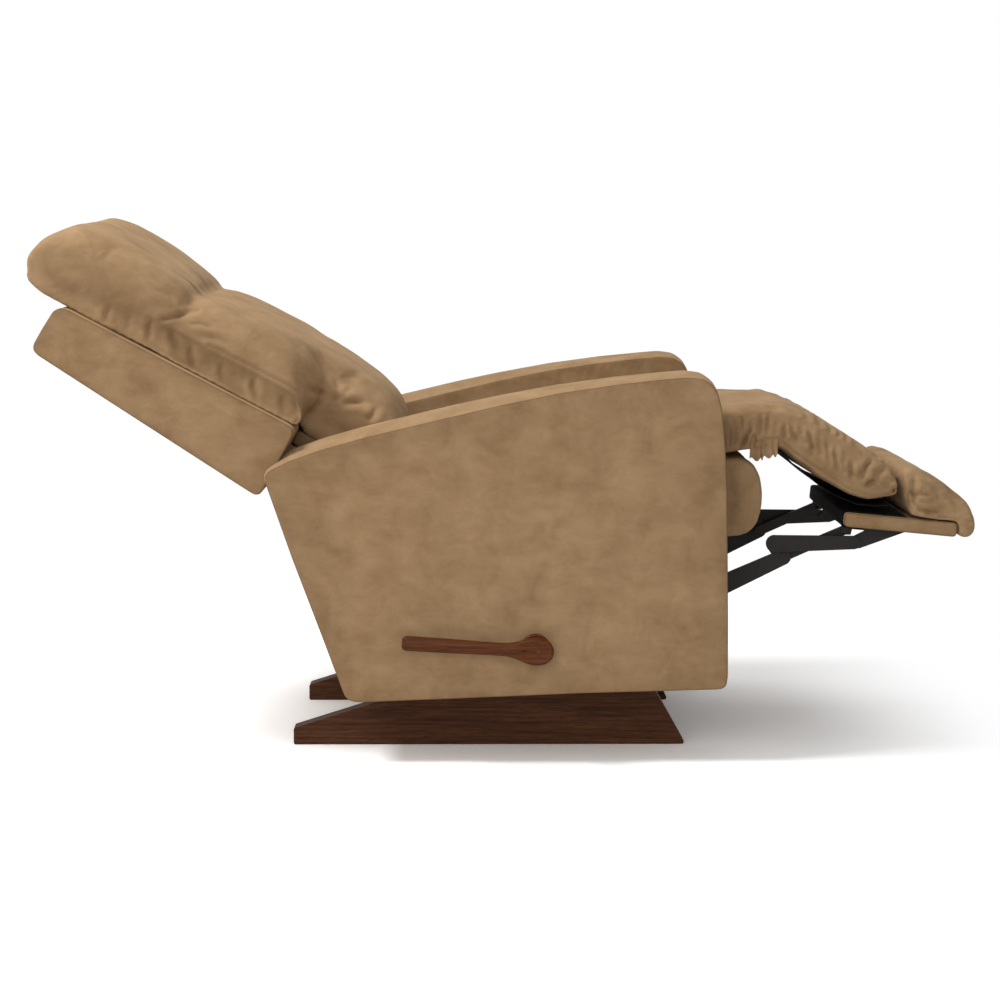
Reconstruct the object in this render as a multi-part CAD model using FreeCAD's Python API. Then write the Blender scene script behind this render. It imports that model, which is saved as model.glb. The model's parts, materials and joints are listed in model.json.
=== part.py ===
import FreeCAD, Part
import math
import os
from FreeCAD import Vector

# A rocker recliner at real size, in millimetres, shown fully reclined with its leg rest out.
# X points forward, Z points up, Y = 0 is the centre plane and the right-hand side is at negative Y.
# The origin is on the floor, under the middle of the base rails.

# Fits that several pieces share
seat_gap = 0.3
pin_gap = 0.08
lane_gap = 1.0
overrun = 5.0

# Base rails that stand on the floor
rail_length = 701.5
rail_height = 97.0
rail_heel_height = 30.0
rail_toe_run = 54.0
rail_slope_run = 212.0
rail_thickness = 40.0
rail_inset = 18.0
rail_corner_radius = 4.0
cross_rail_height = 46.0
cross_rail_thickness = 32.0
cross_rail_floor_gap = 18.0
cross_rail_front_x = 232.0
cross_rail_rear_x = -150.0
angle_leg = 34.0
angle_thickness = 3.0
angle_height = 36.0
screw_radius = 2.4
screw_length = 16.0
screw_head_radius = 4.4
screw_head_height = 2.2
screw_neck_radius = 3.5

# Body frame between the arms, and the rocker blocks under it
body_rail_bottom = 122.0
body_rail_height = 30.0
body_rail_front_x = 352.0
body_rail_rear_x = -206.0
body_cross_depth = 44.0
body_rear_height = 78.0
rocker_half_length = 84.0
rocker_radius = 260.0
rocker_thickness = 30.0
rocker_roll_gap = 0.9
rock_x = 10.0

# Rocker springs and their brackets
spring_wire_radius = 2.4
spring_coil_radius = 15.0
spring_turns = 5
spring_spacing = 46.0
bracket_plate = 3.0
bracket_length = 104.0
bracket_reach = 44.0
bracket_low_z = 34.0
bracket_wall = 22.0

# Upholstered arms
arm_rear_x = -385.0
arm_length = 791.0
arm_bottom_z = 110.0
arm_height = 549.0
arm_inner_half_width = 250.0
arm_width = 150.0
arm_cover_thickness = 12.0
arm_split_gap = 0.6
arm_edge_radius = 11.0
arm_crown = 15.0
arm_pad_edge = 2.0
arm_bar = 56.0
arm_frame_clearance = 4.0

# Handle and drive shaft
shaft_x = 78.0
shaft_z = 202.0
shaft_radius = 8.0
boss_radius = 26.0
boss_height = 8.0
boss_edge_radius = 2.6
hub_radius = 24.0
handle_stand = 29.0
handle_length = 229.0
handle_rise = 15.0
handle_tip_half_height = 12.0
handle_neck_half_height = 10.5
handle_thickness = 14.0
handle_neck_length = 44.0
handle_screw_length = 14.0
screw_cap_radius = 6.0
screw_cap_height = 3.0
bearing_thickness = 6.0
bearing_half_length = 22.0
bearing_offset = 2.0
crank_length = 46.0
crank_lean = 30.0
crank_hub_half_width = 14.3
crank_half_width = 11.0
crank_thickness = 4.0
crank_inset = 34.0

# Seat, which slides along its own sloping rails
seat_tilt = 8.0
seat_rail_front_x = 402.0
seat_rail_front_z = 505.0
seat_rail_length = 445.0
seat_rail_depth = 58.0
seat_rail_inset = 66.0
seat_rail_thickness = 24.0
seat_cross_depth = 50.0
seat_cross_thickness = 24.0
seat_spring_count = 5
seat_spring_wire = 2.0
seat_spring_waves = 9
seat_spring_swing = 22.0
seat_spring_rise = 5.0
seat_side_clearance = 3.5
seat_rear_x = -70.0
seat_rear_top_z = 560.0
seat_knee_x = 506.0
seat_front_top_z = 604.0
seat_crown = 12.0
roll_rear_x = 411.0
roll_front_x = 482.0
roll_bottom_z = 371.0
roll_top_z = 518.0
cleat_width = 40.0
cleat_height = 24.0
cleat_front_run = 215.0
cleat_length = 272.0
glide_length = 60.0
glide_height = 16.0
glide_front_run = 250.0
glide_pitch = 120.0
glide_inset = 20.0

# Leg rest linkage, one set on each side
plate_thickness = 4.0
link_thickness = 5.0
leg_root_x = 381.0
leg_root_z = 346.0
leg_elbow_x = 392.0
leg_elbow_z = 271.0
leg_knuckle_x = 510.0
leg_knuckle_z = 358.0
leg_tail_x = 526.0
leg_tail_z = 333.0
leg_foot_x = 652.0
leg_foot_z = 360.0
cross_end_x = 638.0
cross_end_z = 382.0
long_link_half_width = 18.5
long_link_knuckle_half_width = 15.0
long_link_tail_half_width = 14.0
root_half_width = 14.0
short_link_knuckle_half_width = 15.5
short_link_half_width = 12.0
cross_link_tail_half_width = 9.5
cross_link_half_width = 8.5
rivet_radius = 5.0
rivet_head_radius = 8.0
rivet_head_height = 0.8
cross_tube_radius = 8.0
plate_half_length = 40.0

# Ottoman board, its brackets and its pads
board_rear_x = 630.0
board_front_x = 831.0
board_rear_top_z = 417.5
board_tilt = 5.4
board_thickness = 25.0
board_inset = 5.0
board_edge_radius = 6.0
flange_width = 26.0
flange_thickness = 3.0
flange_rear_run = 46.0
ear_rear_run = 3.0
ear_front_run = 22.0
ear_bridge = 7.0
flange_front_run = 118.0
bracket_half_height = 11.0
pad_side_clearance = 7.0
toe_rear_run = 89.0
toe_heel_run = 112.5
toe_front_run = 228.0
toe_low_rise = -23.5
toe_high_rise = 91.5

# Knee pad that bridges the seat and the ottoman
knee_hinge_x = 508.0
knee_hinge_z = 531.0
knee_front_x = 745.0
knee_bottom_z = 433.0
knee_top_z = 621.0
lining_thickness = 2.0
lining_inset = 10.0

# Reclining back, drawn in its own plane: u runs up the back and v out of its front face
back_pivot_x = -303.0
back_pivot_z = 505.0
back_lean = 28.0
shell_inset = 25.0
shell_foot_u = 62.0
shell_top_u = 517.0
shell_front_v = 49.0
shell_foot_rear_v = -71.0
shell_top_rear_v = -37.0
shell_thickness = 12.0
shell_edge_radius = 9.0
front_panel_thickness = 10.0
stile_inset = 14.0
stile_width = 36.0
stile_foot_u = -146.0
stile_top_u = 490.0
stile_rear_v = -24.0
stile_depth = 32.0
back_rail_height = 60.0
back_rail_depth = 20.0
back_rail_foot_u = -140.0
back_rail_pitch = 285.0
back_side_clearance = 4.0
cushion_foot_u = -142.0
cushion_top_u = 326.0
cushion_base_v = 49.5
cushion_front_v = 181.0
wing_foot_u = 48.0
wing_inset = 25.0
tail_top_u = 150.0
pillow_foot_u = 331.0
pillow_top_u = 612.0
pillow_base_v = 49.5
pillow_front_v = 193.0
lower_pad_rear_v = 12.0
back_plate_thickness = 4.0
back_plate_length = 130.0
back_plate_width = 44.0
back_pin_radius = 8.0
back_pin_length = 50.0

half_rail = rail_length / 2
rail_outer_half_width = arm_inner_half_width - rail_inset
rail_inner_half_width = rail_outer_half_width - rail_thickness
rail_middle = (rail_outer_half_width + rail_inner_half_width) / 2
body_rail_top = body_rail_bottom + body_rail_height
arm_outer_half_width = arm_inner_half_width + arm_width
arm_split = arm_inner_half_width + arm_width / 2
handle_far = arm_outer_half_width + boss_height + seat_gap + handle_stand
shaft_end = handle_far - handle_thickness / 2
bearing_half_width = rail_middle + bearing_offset
crank_angle = math.radians(crank_lean)
seat_rail_outer_half_width = arm_inner_half_width - seat_rail_inset
crank_half_spacing = seat_rail_outer_half_width - crank_inset
seat_half_width = arm_inner_half_width - seat_side_clearance
glide_outer_half_width = arm_inner_half_width - glide_inset
pad_half_width = arm_inner_half_width - pad_side_clearance
board_half_width = pad_half_width - board_inset
lining_half_width = pad_half_width - lining_inset
shell_half_width = arm_outer_half_width - shell_inset
stile_outer_half_width = arm_inner_half_width - stile_inset
back_half_width = arm_inner_half_width - back_side_clearance
wing_half_width = shell_half_width - wing_inset
seat_angle = math.radians(seat_tilt)
back_angle = math.radians(back_lean)
board_angle = math.radians(board_tilt)
seat_cushion_clearance = 2 * seat_spring_wire + seat_spring_rise + 2 * seat_gap

# The least turn between two lines, in radians, that is drawn as an arc
least_bend = 0.002

# Depths of the linkage layers, from the seat's rail outward
plate_inner = seat_rail_outer_half_width
plate_outer = plate_inner + plate_thickness
cross_inner = plate_outer + lane_gap
cross_outer = cross_inner + link_thickness
long_inner = cross_outer + lane_gap
long_outer = long_inner + link_thickness
short_inner = long_outer + lane_gap
short_outer = short_inner + link_thickness

# Side outline of an arm, as shares of its length and height: underside and front, top, rear
arm_front_shares = [
    (0.2073, 0.0), (0.406, 0.0127), (0.680, 0.0291), (1.0, 0.0419),
    (1.0, 0.160), (0.995, 0.667), (0.990, 0.816),
]
arm_top_shares = [
    (0.976, 0.950), (0.929, 0.985), (0.774, 0.972), (0.617, 0.940),
    (0.408, 0.882), (0.282, 0.845), (0.166, 0.804), (0.070, 0.762),
]
arm_rear_shares = [(0.005, 0.690), (0.060, 0.455), (0.156, 0.080)]

# How far the crown of the arm's top pad rises at each place of the top, and its stations across
arm_crown_shares = [0.0, 0.75, 1.0, 1.0, 1.0, 1.0, 0.9, 0.0]
arm_station_shares = [-1.0, -0.9, -0.65, -0.3, 0.3, 0.65, 0.9, 1.0]
arm_post_share = 0.86

# Drawn-in sides of the padded pieces: depth, length and thickness shares at each station
pad_station_shares = [
    (-1.0, 0.955, 0.62), (-0.975, 0.985, 0.82), (-0.90, 0.995, 0.93), (-0.6, 1.0, 0.985),
    (0.0, 1.0, 1.0), (0.6, 1.0, 0.985), (0.90, 0.995, 0.93), (0.975, 0.985, 0.82), (1.0, 0.955, 0.62),
]

# The same for the wide cushions of the back, which are fullest in the middle
wing_station_shares = [
    (-1.0, 0.965, 0.60), (-0.975, 0.985, 0.76), (-0.90, 0.995, 0.85), (-0.6, 1.0, 0.94),
    (0.0, 1.0, 1.0), (0.6, 1.0, 0.94), (0.90, 0.995, 0.85), (0.975, 0.985, 0.76), (1.0, 0.965, 0.60),
]


def on_seat(run, rise):
    """Side-view place measured back from the seat rail's front end and square to the rail."""
    x = seat_rail_front_x - run * math.cos(seat_angle) - rise * math.sin(seat_angle)
    z = seat_rail_front_z - run * math.sin(seat_angle) + rise * math.cos(seat_angle)
    return x, z


def on_back(u, v):
    """Side-view place measured up the back and out of its front face, from the back pivot."""
    x = back_pivot_x - u * math.cos(back_angle) + v * math.sin(back_angle)
    z = back_pivot_z + u * math.sin(back_angle) + v * math.cos(back_angle)
    return x, z


def on_board(run, rise):
    """Side-view place measured forward from the board's top rear corner and square to its top."""
    x = board_rear_x + run * math.cos(board_angle) + rise * math.sin(board_angle)
    z = board_rear_top_z - run * math.sin(board_angle) + rise * math.cos(board_angle)
    return x, z


def outline(points, radius=0.0):
    """A closed side-view outline through the points, with its corners rounded."""
    places = [Vector(x, 0, z) for x, z in points]
    edges = []
    ends = []
    for i, here in enumerate(places):
        back = (places[i - 1] - here).normalize()
        onward = (places[(i + 1) % len(places)] - here).normalize()
        half = back.getAngle(onward) / 2
        reach = radius / math.tan(half)
        start = here + back * reach
        end = here + onward * reach
        ends.append((start, end))
        if reach > pin_gap:
            bisector = (back + onward).normalize()
            middle = here + bisector * (radius / math.sin(half) - radius)
            edges.append(Part.Arc(start, middle, end).toShape())
        else:
            ends[-1] = (here, here)
        edges.append(None)
    straight = 0
    for k, edge in enumerate(edges):
        if edge is None:
            edges[k] = Part.makeLine(ends[straight][1], ends[(straight + 1) % len(places)][0])
            straight += 1
    return Part.Wire(edges)


def stretch(start, middle, end):
    """An arc through three places, or a straight line where they lie on one."""
    bend = (middle - start).getAngle(end - middle)
    if bend < least_bend:
        return Part.makeLine(start, end)
    return Part.Arc(start, middle, end).toShape()


def plate(wire, y_low, y_high):
    """A side-view outline pulled across from one depth to another."""
    face = Part.Face(wire)
    face.translate(Vector(0, y_low, 0))
    return face.extrude(Vector(0, y_high - y_low, 0))


def prism(points, y_low, y_high, radius=0.0):
    return plate(outline(points, radius), y_low, y_high)


def block(x_low, x_high, y_low, y_high, z_low, z_high):
    corner = Vector(x_low, y_low, z_low)
    return Part.makeBox(x_high - x_low, y_high - y_low, z_high - z_low, corner)


def rod(place, y_low, y_high, radius):
    """A round bar across the chair at a side-view place."""
    x, z = place
    return Part.makeCylinder(radius, y_high - y_low, Vector(x, y_low, z), Vector(0, 1, 0))


def bar(start, end, half_width, end_half_width, y_low, y_high):
    """A flat link with round ends between two side-view places, tapered where its ends differ."""
    a = Vector(start[0], 0, start[1])
    b = Vector(end[0], 0, end[1])
    along = (b - a).normalize()
    across = Vector(-along.z, 0, along.x)
    corners = [a + across * half_width, a - across * half_width]
    corners += [b - across * end_half_width, b + across * end_half_width]
    edges = [
        Part.Arc(corners[0], a - along * half_width, corners[1]).toShape(),
        Part.makeLine(corners[1], corners[2]),
        Part.Arc(corners[2], b + along * end_half_width, corners[3]).toShape(),
        Part.makeLine(corners[3], corners[0]),
    ]
    return plate(Part.Wire(edges), y_low, y_high)


def mirrored(shape):
    """The same piece for the left-hand side."""
    return shape.mirror(Vector(0, 0, 0), Vector(0, 1, 0))


def group(solids):
    return Part.makeCompound(solids)


def pair(shape):
    return group([shape, mirrored(shape)])


def padded(places, centre, half_width, place, stations):
    """A padded piece, lofted across the chair through an outline of arcs with drawn-in sides.

    places lists the outline in the piece's own plane, an even number of them, and centre is the
    point that the outline draws in towards at the sides, by the shares that stations gives.
    """
    wires = []
    for depth_share, length_share, thick_share in stations:
        ring = []
        for a, b in places:
            along = centre[0] + (a - centre[0]) * length_share
            across = centre[1] + (b - centre[1]) * thick_share
            x, z = place(along, across)
            ring.append(Vector(x, depth_share * half_width, z))
        ring.append(ring[0])
        arcs = [stretch(*ring[i:i + 3]) for i in range(0, len(places), 2)]
        wires.append(Part.Wire(arcs))
    return Part.makeLoft(wires, True, True)


def in_place(x, z):
    return x, z


# Base: two rails, two cross rails, corner angles and screws


def base_rail():
    top_start = -half_rail + rail_slope_run
    top_end = half_rail - rail_toe_run
    points = [
        (-half_rail, 0), (half_rail, 0), (top_end, rail_height),
        (top_start, rail_height), (-half_rail, rail_heel_height),
    ]
    return prism(points, -rail_outer_half_width, -rail_inner_half_width, rail_corner_radius)


def cross_rail(x):
    top = cross_rail_floor_gap + cross_rail_height
    half = cross_rail_thickness / 2
    width = rail_inner_half_width
    return block(x - half, x + half, -width, width, cross_rail_floor_gap, top)


def corner_places():
    """Inner corners of the base: the cross rail's face and the direction away from it."""
    half = cross_rail_thickness / 2
    return [(cross_rail_front_x - half, -1), (cross_rail_rear_x + half, 1)]


def corner_angle(x, way):
    low = cross_rail_floor_gap
    far = x + way * angle_leg
    thick = x + way * angle_thickness
    wall = -rail_inner_half_width
    along = block(min(x, far), max(x, far), wall, wall + angle_thickness, low, low + angle_height)
    across = block(min(x, thick), max(x, thick), wall, wall + angle_leg, low, low + angle_height)
    shape = along.fuse(across).removeSplitter()
    for start, direction in corner_screw_places(x, way):
        hole = Part.makeCylinder(screw_radius + pin_gap, angle_thickness + 2 * overrun, start, direction)
        shape = shape.cut(hole)
    return shape


def corner_screw_places(x, way):
    """Screw axes of one angle, each starting clear of the angle on its inner side."""
    height = cross_rail_floor_gap + angle_height / 2
    wall = -rail_inner_half_width
    reach = angle_leg - 2 * screw_head_radius
    into_rail = Vector(x + way * reach, wall + angle_thickness + overrun, height)
    into_cross = Vector(x + way * (angle_thickness + overrun), wall + reach, height)
    return [(into_rail, Vector(0, -1, 0)), (into_cross, Vector(-way, 0, 0))]


def corner_screws(x, way):
    solids = []
    for start, direction in corner_screw_places(x, way):
        seat = start + direction * overrun
        crown = seat - direction * screw_head_height
        head = Part.makeCone(screw_neck_radius, screw_head_radius, screw_head_height, crown, direction)
        shank = Part.makeCylinder(screw_radius, screw_length, seat, direction)
        solids.append(head.fuse(shank))
    return solids


def screw_holes():
    """What the screws take out of the right rail and the cross rails."""
    holes = []
    for x, way in corner_places():
        for start, direction in corner_screw_places(x, way):
            seat = start + direction * overrun
            holes.append(Part.makeCylinder(screw_radius, screw_length, seat, direction))
    return holes


# Body frame, rocker blocks and springs


def body_side_rail():
    inner = rail_middle - rocker_thickness / 2
    return block(
        body_rail_rear_x, body_rail_front_x, -(inner + rocker_thickness), -inner,
        body_rail_bottom, body_rail_top,
    )


def body_cross_rail(x_low, height):
    inner = rail_middle - rocker_thickness / 2
    top = body_rail_bottom + height
    return block(x_low, x_low + body_cross_depth, -inner, inner, body_rail_bottom, top)


def body_end_block(x_low):
    """A glue block between a side rail and the arm beside it."""
    outer = rail_middle + rocker_thickness / 2
    return block(
        x_low, x_low + body_cross_depth, -arm_inner_half_width, -outer, body_rail_bottom, body_rail_top,
    )


def rocker_block():
    """A block with a round underside that rolls on the base rail."""
    low = rail_height + rocker_roll_gap
    side_rise = rocker_radius - math.sqrt(rocker_radius**2 - rocker_half_length**2)
    left = Vector(rock_x - rocker_half_length, 0, low + side_rise)
    right = Vector(rock_x + rocker_half_length, 0, low + side_rise)
    top_left = Vector(left.x, 0, body_rail_bottom)
    top_right = Vector(right.x, 0, body_rail_bottom)
    edges = [
        Part.Arc(left, Vector(rock_x, 0, low), right).toShape(),
        Part.makeLine(right, top_right),
        Part.makeLine(top_right, top_left),
        Part.makeLine(top_left, left),
    ]
    inner = rail_middle - rocker_thickness / 2
    return plate(Part.Wire(edges), -(inner + rocker_thickness), -inner)


def low_bracket():
    """A steel angle on the base rail's inner face, with a shelf under two springs."""
    wall = -rail_inner_half_width
    x_low = rock_x - bracket_length / 2
    x_high = x_low + bracket_length
    low = bracket_low_z
    shelf = block(x_low, x_high, wall, wall + bracket_reach, low, low + bracket_plate)
    side = block(x_low, x_high, wall, wall + bracket_plate, low, low + bracket_wall)
    return shelf.fuse(side).removeSplitter()


def high_bracket():
    """A steel plate under the body's side rail that holds the springs' upper ends."""
    inner = rail_middle - rocker_thickness / 2
    x_low = rock_x - bracket_length / 2
    wall = -rail_inner_half_width
    shelf = block(
        x_low, x_low + bracket_length, -inner, wall + bracket_reach,
        body_rail_bottom - bracket_plate, body_rail_bottom,
    )
    side = block(
        x_low, x_low + bracket_length, -inner, -inner + bracket_plate,
        body_rail_bottom - bracket_plate, body_rail_bottom + bracket_wall,
    )
    return shelf.fuse(side).removeSplitter()


def rocker_spring(x, y):
    """A wound spring of quarter turns between the two brackets."""
    bottom = bracket_low_z + bracket_plate + seat_gap + spring_wire_radius
    top = body_rail_bottom - bracket_plate - seat_gap - spring_wire_radius
    quarters = 4 * spring_turns
    eighth = math.pi / 4
    step = (top - bottom) / quarters
    places = []
    for k in range(2 * quarters + 1):
        angle = k * eighth
        height = bottom + step * k / 2
        across = spring_coil_radius * math.cos(angle)
        along = spring_coil_radius * math.sin(angle)
        places.append(Vector(x + across, y + along, height))
    arcs = [Part.Arc(*places[k:k + 3]).toShape() for k in range(0, 2 * quarters, 2)]
    path = Part.Wire(arcs)
    direction = Vector(0, 1, step / (spring_coil_radius * eighth * 2)).normalize()
    ring = Part.Wire(Part.makeCircle(spring_wire_radius, places[0], direction))
    return path.makePipeShell([ring], True, False)


def rocker_springs():
    wall = rail_inner_half_width - bracket_plate
    middle = wall - (bracket_reach - bracket_plate) / 2
    half = spring_spacing / 2
    return [rocker_spring(rock_x + way * half, side * middle) for side in (-1, 1) for way in (-1, 1)]


# Arms


def arm_places(shares):
    return [(arm_rear_x + a * arm_length, arm_bottom_z + b * arm_height) for a, b in shares]


def arm_ring(inset):
    """The arm's side outline, drawn in by an even amount."""
    places = arm_places(arm_front_shares + arm_top_shares + arm_rear_shares)
    wire = outline(places, arm_edge_radius)
    return wire.makeOffset2D(-inset) if inset else wire


def arm_cover(inner_side):
    """One half of the arm's upholstered cover: a tray whose rim meets the other half."""
    rim_inner = arm_split + arm_split_gap / 2
    low = rim_inner
    high = arm_outer_half_width
    floor_low = low - overrun
    floor_high = high - arm_cover_thickness
    if inner_side:
        low = arm_inner_half_width
        high = arm_split - arm_split_gap / 2
        floor_low = low + arm_cover_thickness
        floor_high = high + overrun
    solid = plate(arm_ring(0.0), -high, -low)
    hollow = plate(arm_ring(arm_cover_thickness), -floor_high, -floor_low)
    return solid.cut(hollow)


def arm_frame():
    """The wooden frame inside an arm: a closed ring of bars with one upright post."""
    inner = arm_inner_half_width + arm_cover_thickness + arm_frame_clearance
    outer = arm_outer_half_width - arm_cover_thickness - arm_frame_clearance
    edge = arm_cover_thickness + seat_gap
    ring = plate(arm_ring(edge), -outer, -inner)
    window = plate(arm_ring(edge + arm_bar), -(outer + overrun), -(inner - overrun))
    post = block(
        shaft_x - arm_bar / 2, shaft_x + arm_bar / 2, -outer, -inner,
        arm_bottom_z + edge + arm_bar / 2, arm_bottom_z + arm_height * arm_post_share,
    )
    return ring.cut(window).fuse(post).removeSplitter()


def arm_top_pad():
    """The crowned pad on top of an arm, between its two edge seams."""
    under = arm_places(arm_top_shares)
    middle = (arm_inner_half_width + arm_outer_half_width) / 2
    half = arm_width / 2
    wires = []
    for share in arm_station_shares:
        rise = arm_crown * math.sqrt(1 - share**2)
        over = []
        for (x, z), crown in zip(under, arm_crown_shares):
            over.append((x, z + arm_pad_edge + rise * crown))
        ring = [Vector(x, -(middle + share * half), z) for x, z in under + over[::-1]]
        wires.append(Part.makePolygon(ring + ring[:1]))
    return Part.makeLoft(wires, True, True)


def shaft_hole(radius):
    reach = arm_outer_half_width + boss_height + overrun
    return rod((shaft_x, shaft_z), -reach, reach, radius)


# Handle, drive shaft and bearings


def drive_shaft():
    """The steel shaft across the chair, with a screw hole in its right-hand end."""
    inner = bearing_half_width + bearing_thickness + seat_gap
    shaft = rod((shaft_x, shaft_z), -shaft_end, inner, shaft_radius)
    return shaft.cut(rod((shaft_x, shaft_z), -shaft_end, -(shaft_end - handle_screw_length), screw_radius))


def shaft_bearing():
    """A steel bearing plate that stands on the body's side rail."""
    near = bearing_half_width
    far = near + bearing_thickness
    foot = block(
        shaft_x - bearing_half_length, shaft_x + bearing_half_length,
        -far, -near, body_rail_top, shaft_z,
    )
    eye = rod((shaft_x, shaft_z), -far, -near, bearing_half_length)
    return foot.fuse(eye).removeSplitter().cut(shaft_hole(shaft_radius + pin_gap))


def drive_crank():
    """A crank on the drive shaft that works one leg rest linkage."""
    tip = (shaft_x - crank_length * math.sin(crank_angle), shaft_z + crank_length * math.cos(crank_angle))
    low = -(crank_half_spacing + crank_thickness)
    arm = bar((shaft_x, shaft_z), tip, crank_hub_half_width, crank_half_width, low, -crank_half_spacing)
    arm = arm.cut(rod(tip, low - overrun, -crank_half_spacing + overrun, rivet_radius))
    return arm.cut(shaft_hole(shaft_radius))


def handle_boss():
    """A round wooden plate on the arm, round the shaft."""
    low = -(arm_outer_half_width + boss_height)
    disc = rod((shaft_x, shaft_z), low, -arm_outer_half_width, boss_radius)
    rim = [edge for edge in disc.Edges if abs(edge.CenterOfMass.y - low) < pin_gap and edge.Closed]
    disc = disc.makeFillet(boss_edge_radius, rim)
    return disc.cut(shaft_hole(shaft_radius + pin_gap))


def handle_lever():
    """A wooden lever with a round hub and a flat bar that points to the rear."""
    near = handle_far - handle_stand
    far = handle_far
    hub = rod((shaft_x, shaft_z), -far, -near, hub_radius)
    neck_x = shaft_x - handle_neck_length
    tip_x = shaft_x - handle_length + handle_tip_half_height
    rise_share = handle_neck_length / handle_length
    neck = (neck_x, shaft_z + handle_rise * rise_share)
    tip = (tip_x, shaft_z + handle_rise)
    inner = far - handle_thickness
    grip = bar(neck, tip, handle_neck_half_height, handle_tip_half_height, -far, -inner)
    flare = bar((shaft_x, shaft_z), neck, hub_radius, handle_neck_half_height, -far, -inner)
    lever = hub.fuse(flare).fuse(grip).removeSplitter()
    lever = lever.cut(rod((shaft_x, shaft_z), -shaft_end, -near + overrun, shaft_radius))
    return lever.cut(rod((shaft_x, shaft_z), -far - overrun, -near, screw_radius))


def handle_screw():
    """The screw that holds the lever on the end of its shaft."""
    head = rod((shaft_x, shaft_z), -(handle_far + screw_cap_height), -handle_far, screw_cap_radius)
    shank = rod((shaft_x, shaft_z), -handle_far, -(shaft_end - handle_screw_length), screw_radius)
    return head.fuse(shank)


# Seat


def seat_side_rail():
    points = [
        on_seat(0, 0), on_seat(0, -seat_rail_depth),
        on_seat(seat_rail_length, -seat_rail_depth), on_seat(seat_rail_length, 0),
    ]
    inner = seat_rail_outer_half_width - seat_rail_thickness
    return prism(points, -seat_rail_outer_half_width, -inner)


def seat_cross_rail(run):
    points = [
        on_seat(run, 0), on_seat(run, -seat_cross_depth),
        on_seat(run + seat_cross_thickness, -seat_cross_depth), on_seat(run + seat_cross_thickness, 0),
    ]
    inner = seat_rail_outer_half_width - seat_rail_thickness
    return prism(points, -inner, inner)


def seat_spring(y):
    """A zigzag spring wire that lies on the two cross rails of the seat."""
    start = seat_cross_thickness / 2
    span = seat_rail_length - seat_cross_thickness
    step = span / (2 * seat_spring_waves)
    places = []
    for k in range(2 * seat_spring_waves + 1):
        run = start + k * step
        arch = seat_spring_rise * math.sin(math.pi * k / (2 * seat_spring_waves))
        x, z = on_seat(run, seat_gap + seat_spring_wire + arch)
        swing = seat_spring_swing if k % 2 else -seat_spring_swing
        places.append(Vector(x, y + swing, z))
    path = Part.makePolygon(places)
    ring = Part.Wire(Part.makeCircle(seat_spring_wire, places[0], places[1] - places[0]))
    return path.makePipeShell([ring], True, False, 1)


def seat_springs():
    inner = seat_rail_outer_half_width - seat_rail_thickness - seat_spring_swing - 2 * seat_spring_wire
    pitch = 2 * inner / (seat_spring_count - 1)
    return [seat_spring(-inner + k * pitch) for k in range(seat_spring_count)]


def seat_cushion():
    """The seat cushion, crowned, with its front end reaching over the front roll."""
    rear_run = (seat_rail_front_x - seat_rear_x - seat_crown) / math.cos(seat_angle)
    low_rear = on_seat(rear_run, seat_cushion_clearance)
    low_middle = on_seat((rear_run + seat_cross_thickness) / 2, seat_cushion_clearance)
    low_front = on_seat(seat_cross_thickness, seat_cushion_clearance)
    run = seat_knee_x - roll_rear_x
    height = seat_front_top_z - roll_top_z
    shares = [
        (0.374, 0.049), (0.888, 0.131), (1.0, 0.5), (0.874, 0.891), (0.253, 1.033), (-0.747, 0.935),
    ]
    front = [(roll_rear_x + a * run, roll_top_z + b * height) for a, b in shares]
    places = [low_rear, low_middle, low_front] + front + [
        ((roll_rear_x + seat_rear_x) / 2, (seat_front_top_z + seat_rear_top_z) / 2),
        (seat_rear_x + 3 * seat_crown, seat_rear_top_z),
        (seat_rear_x, (seat_rear_top_z + low_rear[1]) / 2),
    ]
    centre = ((seat_rear_x + seat_knee_x) / 2, (seat_front_top_z + low_front[1]) / 2)
    return padded(places, centre, seat_half_width, in_place, pad_station_shares)


def seat_front_roll():
    """The padded roll that wraps the front edge of the seat."""
    depth = roll_front_x - roll_rear_x
    height = roll_top_z - roll_bottom_z
    shares = [
        (0.0, 0.0), (0.35, 0.0), (0.66, 0.06), (0.87, 0.17), (0.97, 0.36), (1.0, 0.56),
        (0.95, 0.78), (0.78, 0.92), (0.50, 0.985), (0.25, 0.985), (0.0, 0.97), (0.0, 0.5),
    ]
    places = [(roll_rear_x + a * depth, roll_bottom_z + b * height) for a, b in shares]
    centre = (roll_rear_x, (roll_bottom_z + roll_top_z) / 2)
    return padded(places, centre, seat_half_width, in_place, pad_station_shares)


def seat_cleat():
    """A sloping wooden runner on the arm's inner face that carries the seat."""
    top = -seat_rail_depth - seat_gap
    low = top - cleat_height
    rear_run = cleat_front_run + cleat_length
    points = [
        on_seat(cleat_front_run, top), on_seat(cleat_front_run, low),
        on_seat(rear_run, low), on_seat(rear_run, top),
    ]
    return prism(points, -arm_inner_half_width, -(arm_inner_half_width - cleat_width))


def seat_glides():
    """Plastic shoes on the seat rails that slide along the runners."""
    solids = []
    for k in range(2):
        run = glide_front_run + k * glide_pitch
        low = -seat_rail_depth
        points = [
            on_seat(run, low), on_seat(run + glide_length, low),
            on_seat(run + glide_length, low + glide_height), on_seat(run, low + glide_height),
        ]
        shoe = prism(points, -glide_outer_half_width, -seat_rail_outer_half_width)
        solids += [shoe, mirrored(shoe)]
    return group(solids)


# Leg rest linkage

root = (leg_root_x, leg_root_z)
elbow = (leg_elbow_x, leg_elbow_z)
knuckle = (leg_knuckle_x, leg_knuckle_z)
tail = (leg_tail_x, leg_tail_z)
foot = (leg_foot_x, leg_foot_z)
cross_end = (cross_end_x, cross_end_z)


def pin_hole(place, radius):
    return rod(place, -short_outer - overrun, -plate_inner + overrun, radius)


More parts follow.
